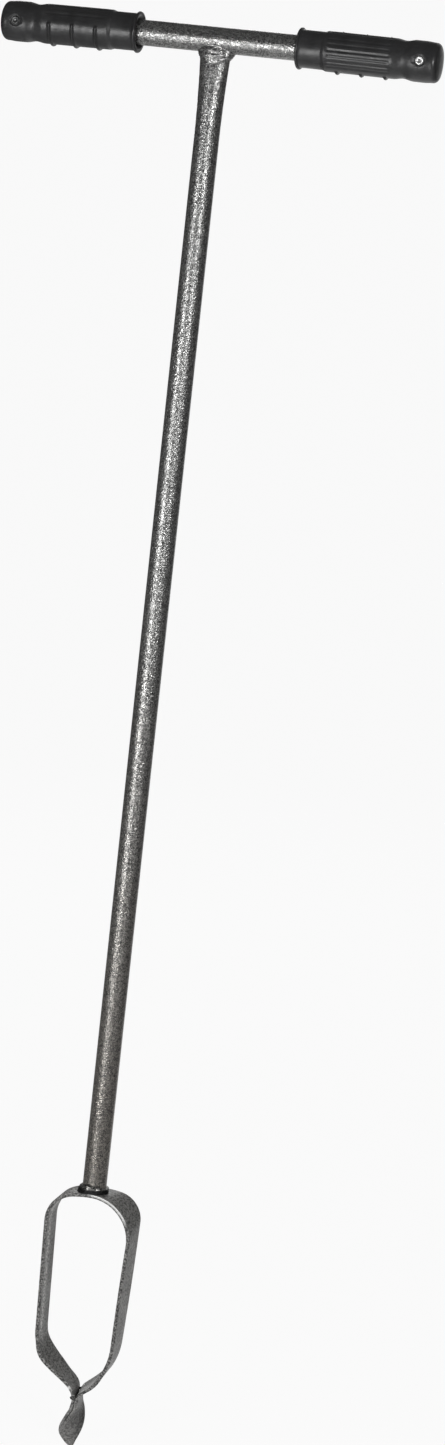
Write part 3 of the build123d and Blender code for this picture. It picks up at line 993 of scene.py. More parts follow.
@dataclass(frozen=True)
class StripWear:
    """Painted highlights, painted sheen, painted shade and darker places of the strip; a pair is where a
    place begins and where it is full.
    """

    sheared_facing: Pair = (0.45, 0.85)
    # painted highlight on the right crown's edge
    crown_drop: Pair = (-22.0 * MM, -14.0 * MM)
    crown_across: Pair = (-4.0 * MM, 6.0 * MM)
    crown_facing: Pair = (-0.1, 0.1)
    crown_centre: float = 60.0 * MM
    # a small painted glint on the front edge
    nick: Point = (0.0, -12.3 * MM, 54.0 * MM)
    nick_reach: Pair = (2.2 * MM, 1.0 * MM)
    # painted highlight on the up-facing face in the throat
    throat_foot: Pair = (48.0 * MM, 53.0 * MM)
    throat_top: Pair = (70.0 * MM, 60.0 * MM)
    throat_rising: Pair = (0.4, 0.6)
    throat_facing: Pair = (-0.2, -0.4)
    throat_front: Pair = (2.0 * MM, -4.0 * MM)
    throat_rear_share: float = 0.3
    leg_across: Pair = (-20.0 * MM, -26.0 * MM)
    leg_height: Pair = (84.0 * MM, 96.0 * MM)
    leg_facing: Pair = (0.4, 0.8)
    # painted sheen band on the left leg's inner face
    leg_pale_front: float = 6.0 * MM
    leg_pale_reach: float = 6.0 * MM
    # painted shade on the rear of the left leg's inner face
    leg_soot: float = 0.25
    leg_soot_rear: Pair = (-1.0 * MM, 3.0 * MM)
    # painted highlight on the up-facing left crest
    crest_inner: Pair = (-8.0 * MM, -14.0 * MM)
    crest_outer: Pair = (-34.0 * MM, -27.0 * MM)
    crest_rising: Pair = (0.5, 0.8)
    crest_height: Pair = (200.0 * MM, 206.0 * MM)
    crest_share: float = 0.8
    leaf_sink: float = 8.0 * MM
    # darker leaf, with painted shade on its right part
    leaf_soot: float = 0.3
    leaf_soot_right: float = 0.35
    leaf_right: Pair = (2.0 * MM, 9.0 * MM)

    def painted_highlight(self, vert: bmesh.types.BMVert, top: float, sheared: float) -> float:
        """Share of painted highlight at a point: on the crown's edge, in a small painted glint and in the
        throat.

        Args:
            vert: Point of the strip, with its normal set.
            top: Height of the crown.
            sheared: Share of sheared edge there.

        Returns:
            The share.
        """
        spot, facing = vert.co, vert.normal
        crown = ease(*self.crown_drop, spot.z - top) * ease(*self.crown_across, spot.x)
        away = Vector((spot.x, 0.0, spot.z - top + self.crown_centre)).normalized()
        crown *= sheared * ease(*self.crown_facing, away.dot(facing))
        nick = ease(*self.nick_reach, (spot - Vector(self.nick)).length)
        throat = ease(*self.throat_foot, spot.z) * ease(*self.throat_top, spot.z)
        throat *= ease(*self.throat_rising, facing.z) * ease(*self.throat_facing, facing.x)
        rear = self.throat_rear_share
        throat *= rear + (1 - rear) * ease(*self.throat_front, spot.y)
        return max(crown, nick, throat)

    def left_leg(self, vert: bmesh.types.BMVert) -> float:
        """Share of the left leg's inner face at a point."""
        share = ease(*self.leg_across, vert.co.x) * ease(*self.leg_height, vert.co.z)
        return share * ease(*self.leg_facing, vert.normal.x)

    def pale(self, vert: bmesh.types.BMVert) -> float:
        """Share of painted sheen at a point: a painted sheen band on the left leg and a painted highlight
        on the up-facing left crest.

        Args:
            vert: Point of the strip, with its normal set.

        Returns:
            The share.
        """
        band = self.left_leg(vert) * hump(vert.co.y + self.leg_pale_front, self.leg_pale_reach)
        crest = ease(*self.crest_inner, vert.co.x) * ease(*self.crest_outer, vert.co.x)
        crest *= ease(*self.crest_rising, vert.normal.z) * ease(*self.crest_height, vert.co.z)
        return max(band, self.crest_share * crest)

    def shade_and_darkening(self, vert: bmesh.types.BMVert, leaf_top: float, twist_top: float) -> float:
        """Share of darkening at a point: over the leaf, with painted shade on its right part, and painted
        shade on the rear of the left leg's inner face.

        Args:
            vert: Point of the strip, with its normal set.
            leaf_top: Height where the leaf begins.
            twist_top: Height where its twist begins.

        Returns:
            The share.
        """
        leaf = ease(leaf_top, twist_top - self.leaf_sink, vert.co.z)
        leaf *= self.leaf_soot + self.leaf_soot_right * ease(*self.leaf_right, vert.co.x)
        return max(leaf, self.leg_soot * self.left_leg(vert) * ease(*self.leg_soot_rear, vert.co.y))


@dataclass
class StripBow:
    """Flat strip bent into a bow, with both its ends twisted together into the leaf tip, and its tacks."""

    finishes: Finishes
    wear: StripWear = StripWear()
    width: float = 24.7 * MM
    thickness: float = 3.0 * MM
    edge_round: float = 0.55 * MM
    crown_radius: float = CROWN_RADIUS
    crown_seam: float = 0.002 * MM
    leaf_offset: float = 4.4 * MM
    ply_gap: float = 0.3 * MM
    leaf_length: float = 40.36 * MM
    twist_delay: float = 4.7 * MM
    twist_run: float = 33.2 * MM
    leaf_twist: float = 84.0
    neck_turn: float = 8.0
    neck_height: float = 42.0 * MM
    neck_run: float = 12.0 * MM
    front_point: float = 11.0 * MM
    front_power: float = 0.6
    rear_point: float = 34.3 * MM
    rear_power: float = 0.97
    tip_width: float = 2.0 * MM
    crown_rings: int = 12
    corner_rings: int = 26
    leg_rings: int = 44
    bend_rings: int = 20
    slope_rings: int = 14
    return_rings: int = 16
    ply_rings: int = 8
    leaf_rings: int = 60
    tack_share: float = 0.65
    tack_buried: float = 0.4
    tack_ripple: float = 0.05
    tack_waves: float = 9.0
    tack_uneven: float = 0.1
    tack_lump: float = 0.6
    tack_soot: float = 0.8
    tack_divisions: int = 4

    def __post_init__(self) -> None:
        """Read the bow's height from the frame."""
        rise = self.crown_radius * (1 - math.cos(math.radians(RIGHT_BENDS.crown_fall)))
        self.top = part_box("auger_bow")[1].z - rise
        self.middle = self.thickness / 2
        self.twist_top = self.leaf_length - self.twist_delay

    def build(self) -> None:
        """Build the strip and the tacks."""
        self.finishes.piece("bow_strip", self.strip(), Slot.STEEL, "auger_bow")
        for node in ("front_tip_tack", "rear_tip_tack"):
            self.finishes.piece(f"{node}_bead", self.tack(node), Slot.WELD, node)

    def section(self) -> list[Vector]:
        """Rounded outline of the strip's section at the crown, in the plane X = 0.

        Returns:
            Points in order round the section.
        """
        points = []
        stations = (0.12, 0.3, 0.5, 0.7, 0.88)
        half = self.width / 2 - self.edge_round
        flat = self.thickness / 2 - self.edge_round
        corners = ((half, flat, 0), (-half, flat, 90), (-half, -flat, 180), (half, -flat, 270))
        for number, (y, z, start) in enumerate(corners):
            for step in range(5):
                angle = math.radians(start + step * 22.5)
                arc = Vector((0.0, math.cos(angle), math.sin(angle))) * self.edge_round
                points.append(Vector((0.0, y, z)) + arc)
            if number % 2 == 0:
                first = points[-1]
                last = Vector((0.0, -y, first.z))
                points.extend(first.lerp(last, share) for share in stations)
        return points

    def leaf_edge(self, height: float, point: float, power: float) -> float:
        """Share of the strip's half width that an edge of the leaf keeps at a height.

        Args:
            height: Height above the tip.
            point: Height at which the edge begins to run in.
            power: Power of its curve.

        Returns:
            The share.
        """
        part = min(max(height, 0.0) / point, 1.0) ** power
        return (self.tip_width + (self.width - self.tip_width) * part) / self.width

    def twisted(self, spot: Vector, side: Side) -> Vector:
        """Turn a point of the straight ply into the leaf, in a half that is drawn to +X.

        Args:
            spot: Point of the strip before the twist.
            side: Side of the tool that the half belongs to.

        Returns:
            The point in the twisted strip.
        """
        share = min(max((self.twist_top - spot.z) / self.twist_run, 0.0), 1.0)
        turn = self.leaf_twist * (share + ease(0.0, 1.0, share)) / 2
        turn -= self.neck_turn * hump(spot.z - self.neck_height, self.neck_run)
        keep = self.leaf_edge(spot.z, self.front_point, self.front_power)
        if spot.y > 0:
            keep = self.leaf_edge(spot.z, self.rear_point, self.rear_power)
        axis = Vector((side.value * self.leaf_offset, 0.0, spot.z))
        arm = Vector((spot.x - axis.x, spot.y * keep, 0.0))
        return axis + Matrix.Rotation(-side.value * math.radians(turn), 3, "Z") @ arm

    def led(self, bends: SideBends) -> bmesh.types.BMesh:
        """Lead one half of the strip from the crown down to the tip, drawn to +X and not yet twisted.

        Args:
            bends: Bends of that half.

        Returns:
            The half's mesh.
        """
        bm = bmesh.new()
        fall = Matrix.Rotation(math.radians(bends.crown_fall), 4, "Y")
        lift, sink = (Matrix.Translation((0.0, 0.0, rise)) for rise in (self.top, -self.middle))
        start = lift @ fall @ sink
        verts = [bm.verts.new(start @ point) for point in self.section()]
        run = StripRun(bm, verts, start)
        corner = bends.corner_start(self.crown_radius)
        reach = self.ply_gap / 2 + self.thickness + bends.side.value * self.leaf_offset
        run.bend(self.crown_radius - self.middle, corner - bends.crown_fall, self.crown_rings)
        run.bend(bends.corner_radius - self.middle, 90 + bends.leg_taper - corner, self.corner_rings)
        run.straight(bends.leg_length, self.leg_rings)
        lower = bends.slope_angle - bends.leg_taper
        run.bend(bends.bend_radius - self.middle, lower, self.bend_rings)
        run.straight(bends.slope_length(reach), self.slope_rings)
        run.bend(bends.return_radius + self.middle, -bends.slope_angle, self.return_rings)
        run.straight(run.place.translation.z - self.twist_top, self.ply_rings)
        run.straight(self.twist_top, self.leaf_rings)
        bmesh.ops.contextual_create(bm, geom=run.loop)
        return bm

    def half(self, bends: SideBends) -> bmesh.types.BMesh:
        """One finished half of the strip, drawn to +X.

        Args:
            bends: Bends of that half.

        Returns:
            The half's mesh, blended from its rear edge to its front edge and twisted.
        """
        bm = self.led(bends)
        front = self.led(bends.flared(self.crown_radius))
        for vert, other in zip(bm.verts, front.verts):
            share = min(max(0.5 - vert.co.y / self.width, 0.0), 1.0)
            spot = vert.co.lerp(other.co, share)
            spot.x += bends.lean(spot)
            vert.co = self.twisted(spot, bends.side)
        front.free()
        return bm

    def strip(self) -> bmesh.types.BMesh:
        """Both halves of the strip, joined at the crown, with its attributes for sheared edges, painted
        highlights, painted sheen and darkening.

        Returns:
            The strip's mesh.
        """
        bm = self.half(LEFT_BENDS)
        bmesh.ops.scale(bm, vec=(-1.0, 1.0, 1.0), verts=bm.verts[:])
        right = bpy.data.meshes.new("right_half")
        made = self.half(RIGHT_BENDS)
        made.to_mesh(right)
        made.free()
        bm.from_mesh(right)
        bpy.data.meshes.remove(right)
        bmesh.ops.remove_doubles(bm, verts=bm.verts[:], dist=self.crown_seam)
        bmesh.ops.recalc_face_normals(bm, faces=bm.faces[:])
        self.mark_edges(bm)
        return bm

    def mark_edges(self, bm: bmesh.types.BMesh) -> None:
        """Note where the strip's sheared edges are, where highlights and a sheen are painted on it, and
        where it is darker, partly as painted shade.

        Args:
            bm: The strip's mesh, with its normals set.
        """
        edge = bm.verts.layers.float.new("edge")
        painted_highlight = bm.verts.layers.float.new("painted_highlight")
        pale = bm.verts.layers.float.new("pale")
        shade_and_darkening = bm.verts.layers.float.new("shade_and_darkening")
        for vert in bm.verts:
            sheared = ease(*self.wear.sheared_facing, abs(vert.normal.y))
            sheared *= ease(self.twist_top, self.leaf_length, vert.co.z)
            vert[edge] = sheared
            # painted highlights
            vert[painted_highlight] = self.wear.painted_highlight(vert, self.top, sheared)
            # painted sheen of the left leg and painted highlight of the left crest
            vert[pale] = self.wear.pale(vert)
            # darker leaf, and painted shade on its right part and on the left leg's rear
            vert[shade_and_darkening] = self.wear.shade_and_darkening(vert, self.leaf_length, self.twist_top)

    def tack(self, node: str) -> bmesh.types.BMesh:
        """Small rippled bead on the edges of the two plies.

        Args:
            node: CAD node that the bead stands for.

        Returns:
            The bead's mesh, with its attribute for darkening, which darkens it all over.
        """
        low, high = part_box(node)
        size = Vector(((high.x - low.x) / 2, high.y - low.y, self.tack_share * (high.z - low.z) / 2))
        centre = (low + high) / 2
        centre.z -= (1 - self.tack_share) * (high.z - low.z) / 2
        outward = math.copysign(1.0, centre.y)
        base = low.y if outward > 0 else high.y
        bm = bmesh.new()
        bmesh.ops.create_icosphere(bm, subdivisions=self.tack_divisions, radius=1.0)
        shade_and_darkening = bm.verts.layers.float.new("shade_and_darkening")
        for vert in bm.verts:
            spot = vert.co.copy()
            ring = 1 + self.tack_ripple * math.sin(self.tack_waves * math.hypot(spot.x, spot.z))
            depth = max(spot.y * outward, -self.tack_buried) * size.y * ring
            uneven = 1 + self.tack_uneven * lumps(spot, self.tack_lump)
            across = centre.x + spot.x * size.x * uneven
            vert.co = (across, base + outward * depth, centre.z + spot.z * size.z * uneven)
            # darkens the whole tack
            vert[shade_and_darkening] = self.tack_soot
        return bm


@dataclass(frozen=True)
class RivetForm:
    """Sizes of a blind rivet that its boxes in the frame don't give."""

    shank: float = 1.6 * MM
    stem: float = 0.9 * MM
    bulb: float = 2.3 * MM
    bulb_length: float = 2.6 * MM
    head_round: float = 0.9 * MM
    dish: tuple[Pair, ...] = ((1.75 * MM, 0.0), (1.45 * MM, 0.12 * MM), (1.1 * MM, 0.3 * MM))
    dish_depth: float = 0.45 * MM
    ball_length: float = 1.2 * MM
    ball_flat: float = 0.8
    ball_round: float = 0.2
    stub: tuple[Pair, ...] = ((1.0, 0.15 * MM), (0.75, 0.0), (0.4, 0.1 * MM), (0.0, 0.06 * MM))
    rough_run: Pair = (-0.3 * MM, -0.1 * MM)
    rough_height: float = 0.12 * MM
    rough_size: float = 0.5 * MM
    steps: int = 64

    def sleeve_profile(self, head: float, top: float, seat: float, inner: float) -> list[Pair]:
        """Profile of the sleeve: bulb, shank and a domed head with a dished middle.

        Args:
            head: Radius of the head.
            top: Height of the head's top.
            seat: Height of the seat under the head.
            inner: Height of the bulb's end.

        Returns:
            Radius and height, point by point.
        """
        bulb_top = inner + self.bulb_length
        profile = [(self.stem, inner), (self.bulb, inner), (self.bulb, bulb_top)]
        profile += [(self.shank, bulb_top), (self.shank, seat), (head, seat)]
        for step in range(9):
            angle = math.radians(step * 11.25)
            radius = head - self.head_round + self.head_round * math.cos(angle)
            profile.append((radius, top - self.head_round + self.head_round * math.sin(angle)))
        profile += [(radius, top - sink) for radius, sink in self.dish]
        return profile + [(self.stem, top - self.dish_depth), (self.stem, inner)]

    def mandrel_profile(self, head: float, top: float, inner: float) -> list[Pair]:
        """Profile of the pulled mandrel: its head below the bulb, its stem and its broken end.

        Args:
            head: Radius of the mandrel's head.
            top: Height of the broken end.
            inner: Height of the head's end.

        Returns:
            Radius and height, point by point.
        """
        neck = inner + self.ball_length
        profile = [(0.0, inner), (self.ball_flat * head, inner), (head, inner + self.ball_round * head)]
        profile += [(head, neck), (self.stem, neck)]
        return profile + [(share * self.stem, top - sink) for share, sink in self.stub]


@dataclass
class HandGrip:
    """Moulded grip with its knob, finger ridges, ribs and flared collar, and the rivet that holds it."""

    finishes: Finishes
    side: Side
    rib_angle: float
    ridge_shift: float = 0.0
    tarnished: bool = False
    rivet: RivetForm = RivetForm()
    turn_steps: int = 240
    ring_gap: float = 0.12 * MM
    end_dome: float = 0.8 * MM
    end_round: float = 4.0 * MM
    end_taper: float = 0.5 * MM
    taper_share: float = 0.6
    face_dome: float = 0.1
    face_share: float = 0.45
    droop: float = 1.0 * MM
    droop_fade: float = 1.5 * MM
    knob_radius: float = 15.85 * MM
    knob_length: float = 20.0 * MM
    neck_radius: float = 14.5 * MM
    neck_distance: float = 28.4 * MM
    skin_depth: float = 0.8 * MM
    body_radius: float = 15.6 * MM
    body_start: float = 36.5 * MM
    body_end: float = 90.0 * MM
    sleeve_radius: float = 14.6 * MM
    sleeve_start: float = 93.5 * MM
    collar_radius: float = 16.2 * MM
    collar_width: float = 2.4 * MM
    collar_flare: float = 4.5 * MM
    flare_power: float = 1.6
    mouth_radius: float = 13.0 * MM
    mouth_depth: float = 5.0 * MM
    length: float = 113.5 * MM
    end_wall: float = 4.0 * MM
    bore: float = 10.1 * MM
    ridge_first: float = 42.4 * MM
    ridge_pitch: float = 19.35 * MM
    ridge_count: int = 3
    ridge_height: float = 1.6 * MM
    ridge_half_width: float = 1.9 * MM
    ridge_span: float = 91.0
    ridge_fade: float = 4.0
    rib_count: int = 7
    rib_pitch: float = 17.0
    groove_depth: float = 0.45 * MM
    groove_half_width: float = 1.75 * MM
    groove_inset: float = 2.0 * MM
    groove_fade: float = 1.4 * MM
    seat_radius: float = 4.5 * MM
    seat_depth: float = 1.4 * MM
    seat_edge: Pair = (0.5 * MM, -0.2 * MM)
    rivet_distance: float = 14.0 * MM

    def __post_init__(self) -> None:
        """Read the grip's place from the frame."""
        low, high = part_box(f"{self.side.word}_grip")
        bar_low, bar_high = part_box("crossbar_tube")
        self.end = high.x if self.side is Side.RIGHT else low.x
        self.height = (bar_low.z + bar_high.z) / 2

    def build(self) -> None:
        """Build the grip, the rivet's sleeve and its mandrel."""
        word = self.side.word
        grip, sleeve, mandrel = f"{word}_grip", f"{word}_rivet_sleeve", f"{word}_rivet_mandrel"
        self.finishes.piece(f"{grip}_moulding", self.moulding(), Slot.RUBBER, grip, sharp=60)
        head = self.finishes.piece(f"{word}_rivet_head", self.rivet_sleeve(), Slot.RIVET, sleeve, sharp=40)
        # painted shade: the left rivet's head takes the darkened copy of the aluminium
        if self.tarnished:
            head.data.materials[0] = self.finishes.tarnish
        self.finishes.piece(f"{word}_rivet_stub", self.rivet_mandrel(), Slot.MANDREL, mandrel, sharp=40)

    def outside(self, distance: float) -> float:
        """Radius of the turned outside of the grip.

        Args:
            distance: Distance from the closed end.

        Returns:
            The radius there, without ridges and grooves.
        """
        knob_start = self.end_dome + self.end_round
        if distance < self.neck_distance:
            share = ease(self.knob_length, self.neck_distance, distance)
            plain = self.knob_radius + (self.neck_radius - self.knob_radius) * share
            plain -= self.end_taper * ease(self.taper_share * self.knob_length, knob_start, distance)
            lift = max(knob_start - distance, 0.0)
            return plain - self.end_round + math.sqrt(max(self.end_round ** 2 - lift ** 2, 0.0))
        if distance < self.body_end:
            share = ease(self.neck_distance, self.body_start, distance)
            return self.neck_radius + (self.body_radius - self.neck_radius) * share
        share = ease(self.body_end, self.sleeve_start, distance)
        plain = self.body_radius + (self.sleeve_radius - self.body_radius) * share
        rim = self.collar_radius - self.collar_width / 2
        flare = (distance - self.length + self.collar_flare) / (self.collar_flare - self.collar_width)
        return plain + (rim - plain) * min(max(flare, 0.0), 1.0) ** self.flare_power

    def stations(self) -> list[float]:
        """Distances from the closed end at which the outside gets a ring.

        Returns:
            Distances in order, close together where the shape is fine.
        """
        turns = [math.cos(math.radians(step * 11.25)) for step in range(9)]
        marks = {self.end_dome + self.end_round * (1 - turn) for turn in turns}
        rim = self.length - self.collar_width
        spaced = [(6.0 * MM, 0.45 * MM, range(28)), (self.knob_length, 0.9 * MM, range(20)),
                  (self.body_start, 2.6 * MM, range(21)), (self.body_end, 0.35 * MM, range(11)),
                  (self.sleeve_start, 2.0 * MM, range(8)), (rim, -0.3 * MM, range(9)),
                  (self.body_start + self.groove_inset, 0.4 * MM, range(-4, 5)),
                  (self.body_end - self.groove_inset, 0.4 * MM, range(-4, 5))]
        for start, pitch, steps in spaced:
            marks.update(start + pitch * step for step in steps)
        for index in range(self.ridge_count):
            middle = self.ridge_first + index * self.ridge_pitch
            marks.update(middle + self.ridge_half_width * step / 6 for step in range(-7, 8))
        ordered = []
        for mark in sorted(marks):
            if mark <= rim and (not ordered or mark - ordered[-1] > self.ring_gap):
                ordered.append(mark)
        return ordered

    def moulding(self) -> bmesh.types.BMesh:
        """The grip, turned from its profile and then shaped into ridges and ribs.

        Returns:
            The grip's mesh.
        """
        lip = self.collar_width / 2
        profile = [(0.0, 0.0), (self.face_dome * self.end_dome, self.face_share * self.knob_radius)]
        profile += [(distance, self.outside(distance)) for distance in self.stations()]
        for step in range(1, 9):
            angle = math.radians(180 - step * 22.5)
            radius = self.collar_radius - lip + lip * math.sin(angle)
            profile.append((self.length - lip + lip * math.cos(angle), radius))
        halfway = (self.length - 0.5 * self.mouth_depth, 0.5 * (self.mouth_radius + self.bore))
        profile += [(self.length, self.mouth_radius), halfway, (self.length - self.mouth_depth, self.bore)]
        profile += [(self.end_wall, self.bore), (self.end_wall, 0.0)]
        inwards = -self.side.value
        points = [(self.end + inwards * along, 0.0, self.height + radius) for along, radius in profile]
        bm = turned_shape(points, (self.end, 0.0, self.height), (1.0, 0.0, 0.0), self.turn_steps)
        for vert in bm.verts:
            self.raise_skin(vert)
        self.hang(bm)
        return bm

    def hang(self, bm: bmesh.types.BMesh) -> None:
        """Let a piece hang a little towards the handle's end, where the crossbar droops; the bore stays.

        Args:
            bm: The piece's mesh.
        """
        for vert in bm.verts:
            away = math.hypot(vert.co.y, vert.co.z - self.height)
            share = ease(self.bore, self.bore + self.droop_fade, away)
            vert.co.z -= share * self.droop * (vert.co.x / self.end) ** 2

    def raise_skin(self, vert: bmesh.types.BMVert) -> None:
        """Raise one point of the outside into a ridge, or sink it into a groove or the rivet's seat.

        Args:
            vert: Point of the turned grip.
        """
        distance = abs(vert.co.x - self.end)
        spoke = Vector((0.0, vert.co.y, vert.co.z - self.height))
        if spoke.length < self.neck_radius - self.skin_depth or distance > self.sleeve_start:
            return
        angle = math.degrees(math.atan2(spoke.z, -spoke.y))
        lift = self.ridge_lift(distance, angle) - self.groove_sink(distance, angle)
        vert.co += spoke.normalized() * lift
        away = math.hypot(distance - self.rivet_distance, math.radians(angle) * self.knob_radius)
        seat = ease(*self.seat_edge, away - self.seat_radius)
        vert.co.y += seat * (self.seat_depth - self.knob_radius - vert.co.y)

    def ridge_lift(self, distance: float, angle: float) -> float:
        """Height of the finger ridges.

        Args:
            distance: Distance from the closed end.
            angle: Degrees from the front upwards.

        Returns:
            Height above the body.
        """
        away = abs((angle - self.rib_angle - self.ridge_shift) % 360 - 180)
        share = ease(self.ridge_span + self.ridge_fade, self.ridge_span - self.ridge_fade, away)
        middles = (self.ridge_first + index * self.ridge_pitch for index in range(self.ridge_count))
        humps = sum(hump(distance - middle, self.ridge_half_width) for middle in middles)
        return self.ridge_height * share * humps

    def groove_sink(self, distance: float, angle: float) -> float:
        """Depth of the long grooves that leave the ribs between them.

        Args:
            distance: Distance from the closed end.
            angle: Degrees from the front upwards.

        Returns:
            Depth below the body.
        """
        near = (angle - self.rib_angle + 180) % 360 - 180
        first = self.body_start + self.groove_inset
        last = self.body_end - self.groove_inset
        share = ease(first - self.groove_fade, first + self.groove_fade, distance)
        share *= ease(last + self.groove_fade, last - self.groove_fade, distance)
        offsets = (self.rib_pitch * (index - self.rib_count / 2) for index in range(self.rib_count + 1))
        arc = math.radians(1.0) * self.body_radius
        humps = sum(hump((near - offset) * arc, self.groove_half_width) for offset in offsets)
        return self.groove_depth * share * humps

    def turned_rivet(self, profile: list[Pair]) -> bmesh.types.BMesh:
        """Turn a rivet's profile about its axis, which points to the front.

        Args:
            profile: Radius and distance from the bar's axis, point by point.

        Returns:
            The turned mesh.
        """
        place = self.end - self.side.value * self.rivet_distance
        points = [(place + radius, -outward, self.height) for radius, outward in profile]
        bm = turned_shape(points, (place, 0.0, self.height), (0.0, 1.0, 0.0), self.rivet.steps)
        self.hang(bm)
        return bm

    def rivet_sleeve(self) -> bmesh.types.BMesh:
        """Sleeve of the blind rivet, seated in the grip.

        Returns:
            The sleeve's mesh.
        """
        low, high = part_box(f"{self.side.word}_rivet_sleeve")
        seat = self.knob_radius - self.seat_depth
        return self.turned_rivet(self.rivet.sleeve_profile((high.x - low.x) / 2, -low.y, seat, -high.y))

    def rivet_mandrel(self) -> bmesh.types.BMesh:
        """Pulled mandrel of the blind rivet, with its rough broken end.

        Returns:
            The mandrel's mesh.
        """
        low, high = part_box(f"{self.side.word}_rivet_mandrel")
        bm = self.turned_rivet(self.rivet.mandrel_profile((high.x - low.x) / 2, -low.y, -high.y))
        for vert in bm.verts:
            broken = ease(*self.rivet.rough_run, low.y - vert.co.y)
            vert.co.y += broken * self.rivet.rough_height * lumps(vert.co, self.rivet.rough_size)
        return bm


@dataclass(frozen=True)
class Lamp:
    """Soft rectangular studio lamp, placed round the tool and aimed at it."""

    name: str
    turn: float
    distance: float
    height: float
    aim_height: float
    width: float
    tall: float
    power: float

    def build(self) -> None:
        """Hang the lamp; its turn is in degrees from the front to the right."""
        light = bpy.data.lights.new(self.name, "AREA")
        light.shape = "RECTANGLE"
        light.size = self.width
        light.size_y = self.tall
        light.energy = self.power
        lamp = bpy.data.objects.new(self.name, light)
        bpy.context.scene.collection.objects.link(lamp)
        angle = math.radians(self.turn)
        lamp.location = (math.sin(angle) * self.distance, -math.cos(angle) * self.distance, self.height)
        aim = Vector((0.0, 0.0, self.aim_height)) - lamp.location
        lamp.rotation_euler = aim.to_track_quat("-Z", "Y").to_euler()
        lamp.visible_camera = False
        LOG.info("hung lamp %s", self.name)


LAMPS = (
    Lamp("left_lamp", turn=-14.5, distance=2.0, height=0.33, aim_height=0.4,
         width=0.5, tall=0.6, power=11.4),
    Lamp("upper_left_lamp", turn=-21.0, distance=2.0, height=0.81, aim_height=0.8,
         width=0.32, tall=0.36, power=6.8),
    Lamp("right_lamp", turn=39.0, distance=2.0, height=1.13, aim_height=1.0,
         width=0.5, tall=0.46, power=13.8),
    Lamp("back_lamp", turn=200.0, distance=2.6, height=1.5, aim_height=0.7,
         width=0.8, tall=0.8, power=8.0),
)


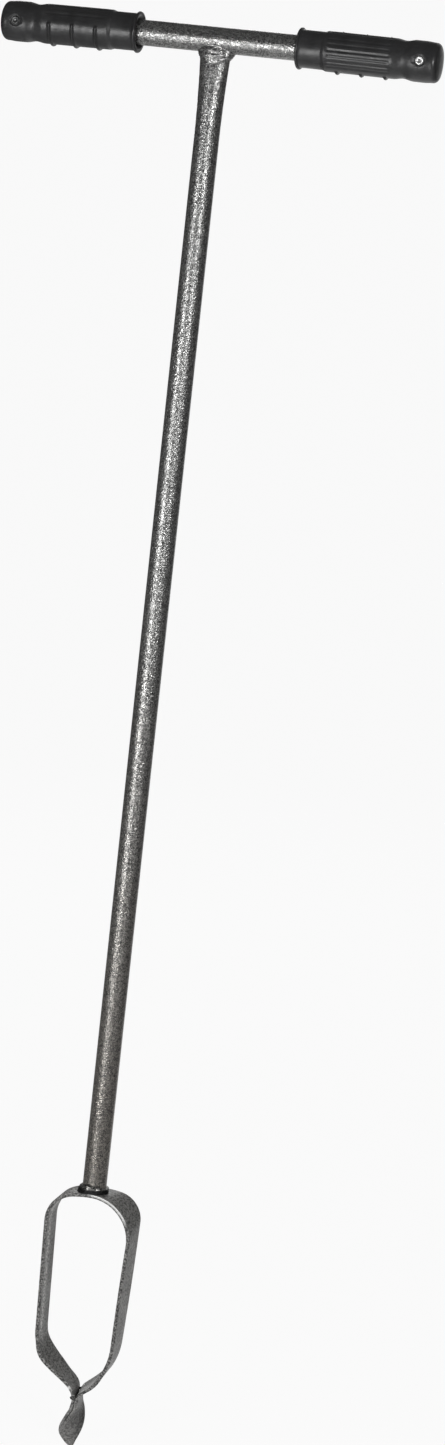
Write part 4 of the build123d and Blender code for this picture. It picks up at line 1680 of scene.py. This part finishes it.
@dataclass
class Studio:
    """Round cove of white paper, dim room light, soft lamps and the camera."""

    floor_radius: float = 15.0
    bend: float = 4.5
    wall: float = 13.5
    bend_steps: int = 12
    cove_steps: int = 96
    paper_white: Colour = (0.86, 0.86, 0.86)
    paper_dullness: float = 0.9
    paper_specular: float = 0.1
    white_from: float = -0.4
    white_to: float = -0.12
    white_spread: float = 0.28
    white_half_width: float = 0.25
    white_fade: float = 0.12
    seen_share: float = 0.94
    mirrored_share: float = 0.8
    room: float = 0.12
    lens: float = 80.62
    sensor: float = 36.0
    sight: float = 60.0
    turn: float = 15.22
    tilt: float = 9.64
    roll: float = 6.34
    distance: float = 2.62107
    aim_across: float = 0.0631
    aim_height: float = 0.62719

    def build(self) -> None:
        """Set up the whole studio."""
        self.cove()
        self.world()
        for lamp in LAMPS:
            lamp.build()
        self.camera()
        bpy.context.scene.view_settings.view_transform = "Standard"

    def cove(self) -> None:
        """Lay a round floor of paper under the tool that bends up into a wall all round."""
        points = [(0.0, 0.0, 0.0), (self.floor_radius, 0.0, 0.0)]
        for step in range(1, self.bend_steps + 1):
            angle = math.radians(90.0 * step / self.bend_steps)
            reach = self.floor_radius + self.bend * math.sin(angle)
            points.append((reach, 0.0, self.bend * (1 - math.cos(angle))))
        points.append((self.floor_radius + self.bend, 0.0, self.bend + self.wall))
        bm = turned_shape(points, (0.0, 0.0, 0.0), (0.0, 0.0, 1.0), self.cove_steps)
        bmesh.ops.recalc_face_normals(bm, faces=bm.faces[:])
        mesh = bpy.data.meshes.new("paper_cove")
        bm.to_mesh(mesh)
        bm.free()
        mesh.shade_smooth()
        mesh.materials.append(self.paper())
        cove = bpy.data.objects.new("paper_cove", mesh)
        bpy.context.scene.collection.objects.link(cove)
        LOG.info("laid the paper cove")

    def paper(self) -> bpy.types.Material:
        """White paper, which the lens sees as white, and so do reflections of the part behind the tool.

        Returns:
            The paper's material.
        """
        material, sheet, shader = new_material("white_paper")
        shader.inputs["Base Color"].default_value = opaque(self.paper_white)
        shader.inputs["Roughness"].default_value = self.paper_dullness
        shader.inputs["Specular IOR Level"].default_value = self.paper_specular
        parts = sheet.add("ShaderNodeSeparateXYZ", {0: sheet.place()}).outputs
        behind = sheet.span(parts["Y"], self.white_from, self.white_to)
        wider = sheet.math("MULTIPLY", parts["Y"], self.white_spread)
        edge = sheet.math("ADD", wider, self.white_half_width)
        inside = sheet.math("SUBTRACT", edge, sheet.math("ABSOLUTE", parts["X"]))
        zone = sheet.math("MULTIPLY", behind, sheet.span(inside, 0.0, self.white_fade))
        path = sheet.add("ShaderNodeLightPath").outputs
        mirrored = sheet.math("ADD", path["Is Glossy Ray"], path["Is Transmission Ray"], clamp=True)
        mirrored = sheet.math("MULTIPLY", mirrored, sheet.math("MULTIPLY", zone, self.mirrored_share))
        seen = sheet.math("MULTIPLY", path["Is Camera Ray"], self.seen_share)
        share = sheet.math("ADD", seen, mirrored, clamp=True)
        glow = sheet.add("ShaderNodeEmission", {"Color": (1.0, 1.0, 1.0, 1.0), "Strength": 1.0})
        mixed = sheet.add("ShaderNodeMixShader", {0: share, 1: shader.outputs[0], 2: glow.outputs[0]})
        sheet.link(mixed.outputs[0], material.node_tree.nodes["Material Output"].inputs["Surface"])
        return material

    def world(self) -> None:
        """Fill the room above the cove with dim even light."""
        world = bpy.data.worlds.new("room")
        world.use_nodes = True
        background = world.node_tree.nodes["Background"]
        background.inputs["Color"].default_value = (1.0, 1.0, 1.0, 1.0)
        background.inputs["Strength"].default_value = self.room
        bpy.context.scene.world = world

    def camera(self) -> None:
        """Set the camera at the photograph's viewing angle."""
        turn, tilt, roll = (math.radians(angle) for angle in (self.turn, self.tilt, self.roll))
        right = Vector((math.cos(turn), math.sin(turn), 0.0))
        back = Vector((math.sin(turn) * math.cos(tilt), -math.cos(turn) * math.cos(tilt), math.sin(tilt)))
        up = back.cross(right)
        across = right * math.cos(roll) + up * math.sin(roll)
        above = up * math.cos(roll) - right * math.sin(roll)
        data = bpy.data.cameras.new("camera")
        data.lens = self.lens
        data.sensor_width = self.sensor
        data.clip_end = self.sight
        camera = bpy.data.objects.new("camera", data)
        bpy.context.scene.collection.objects.link(camera)
        aim = right * self.aim_across + Vector((0.0, 0.0, self.aim_height))
        place = Matrix((across, above, back)).transposed().to_4x4()
        place.translation = aim + back * self.distance
        camera.matrix_world = place
        bpy.context.scene.camera = camera


def main() -> None:
    """Build the studio and the tool."""
    logging.basicConfig(level=logging.INFO, format="%(name)s: %(message)s")
    finishes = Finishes()
    WeldedTubes(finishes).build()
    StripBow(finishes).build()
    HandGrip(finishes, Side.LEFT, rib_angle=90.0, tarnished=True).build()
    HandGrip(finishes, Side.RIGHT, rib_angle=10.0, ridge_shift=6.0).build()
    Studio().build()


if __name__ == "__main__":
    main()
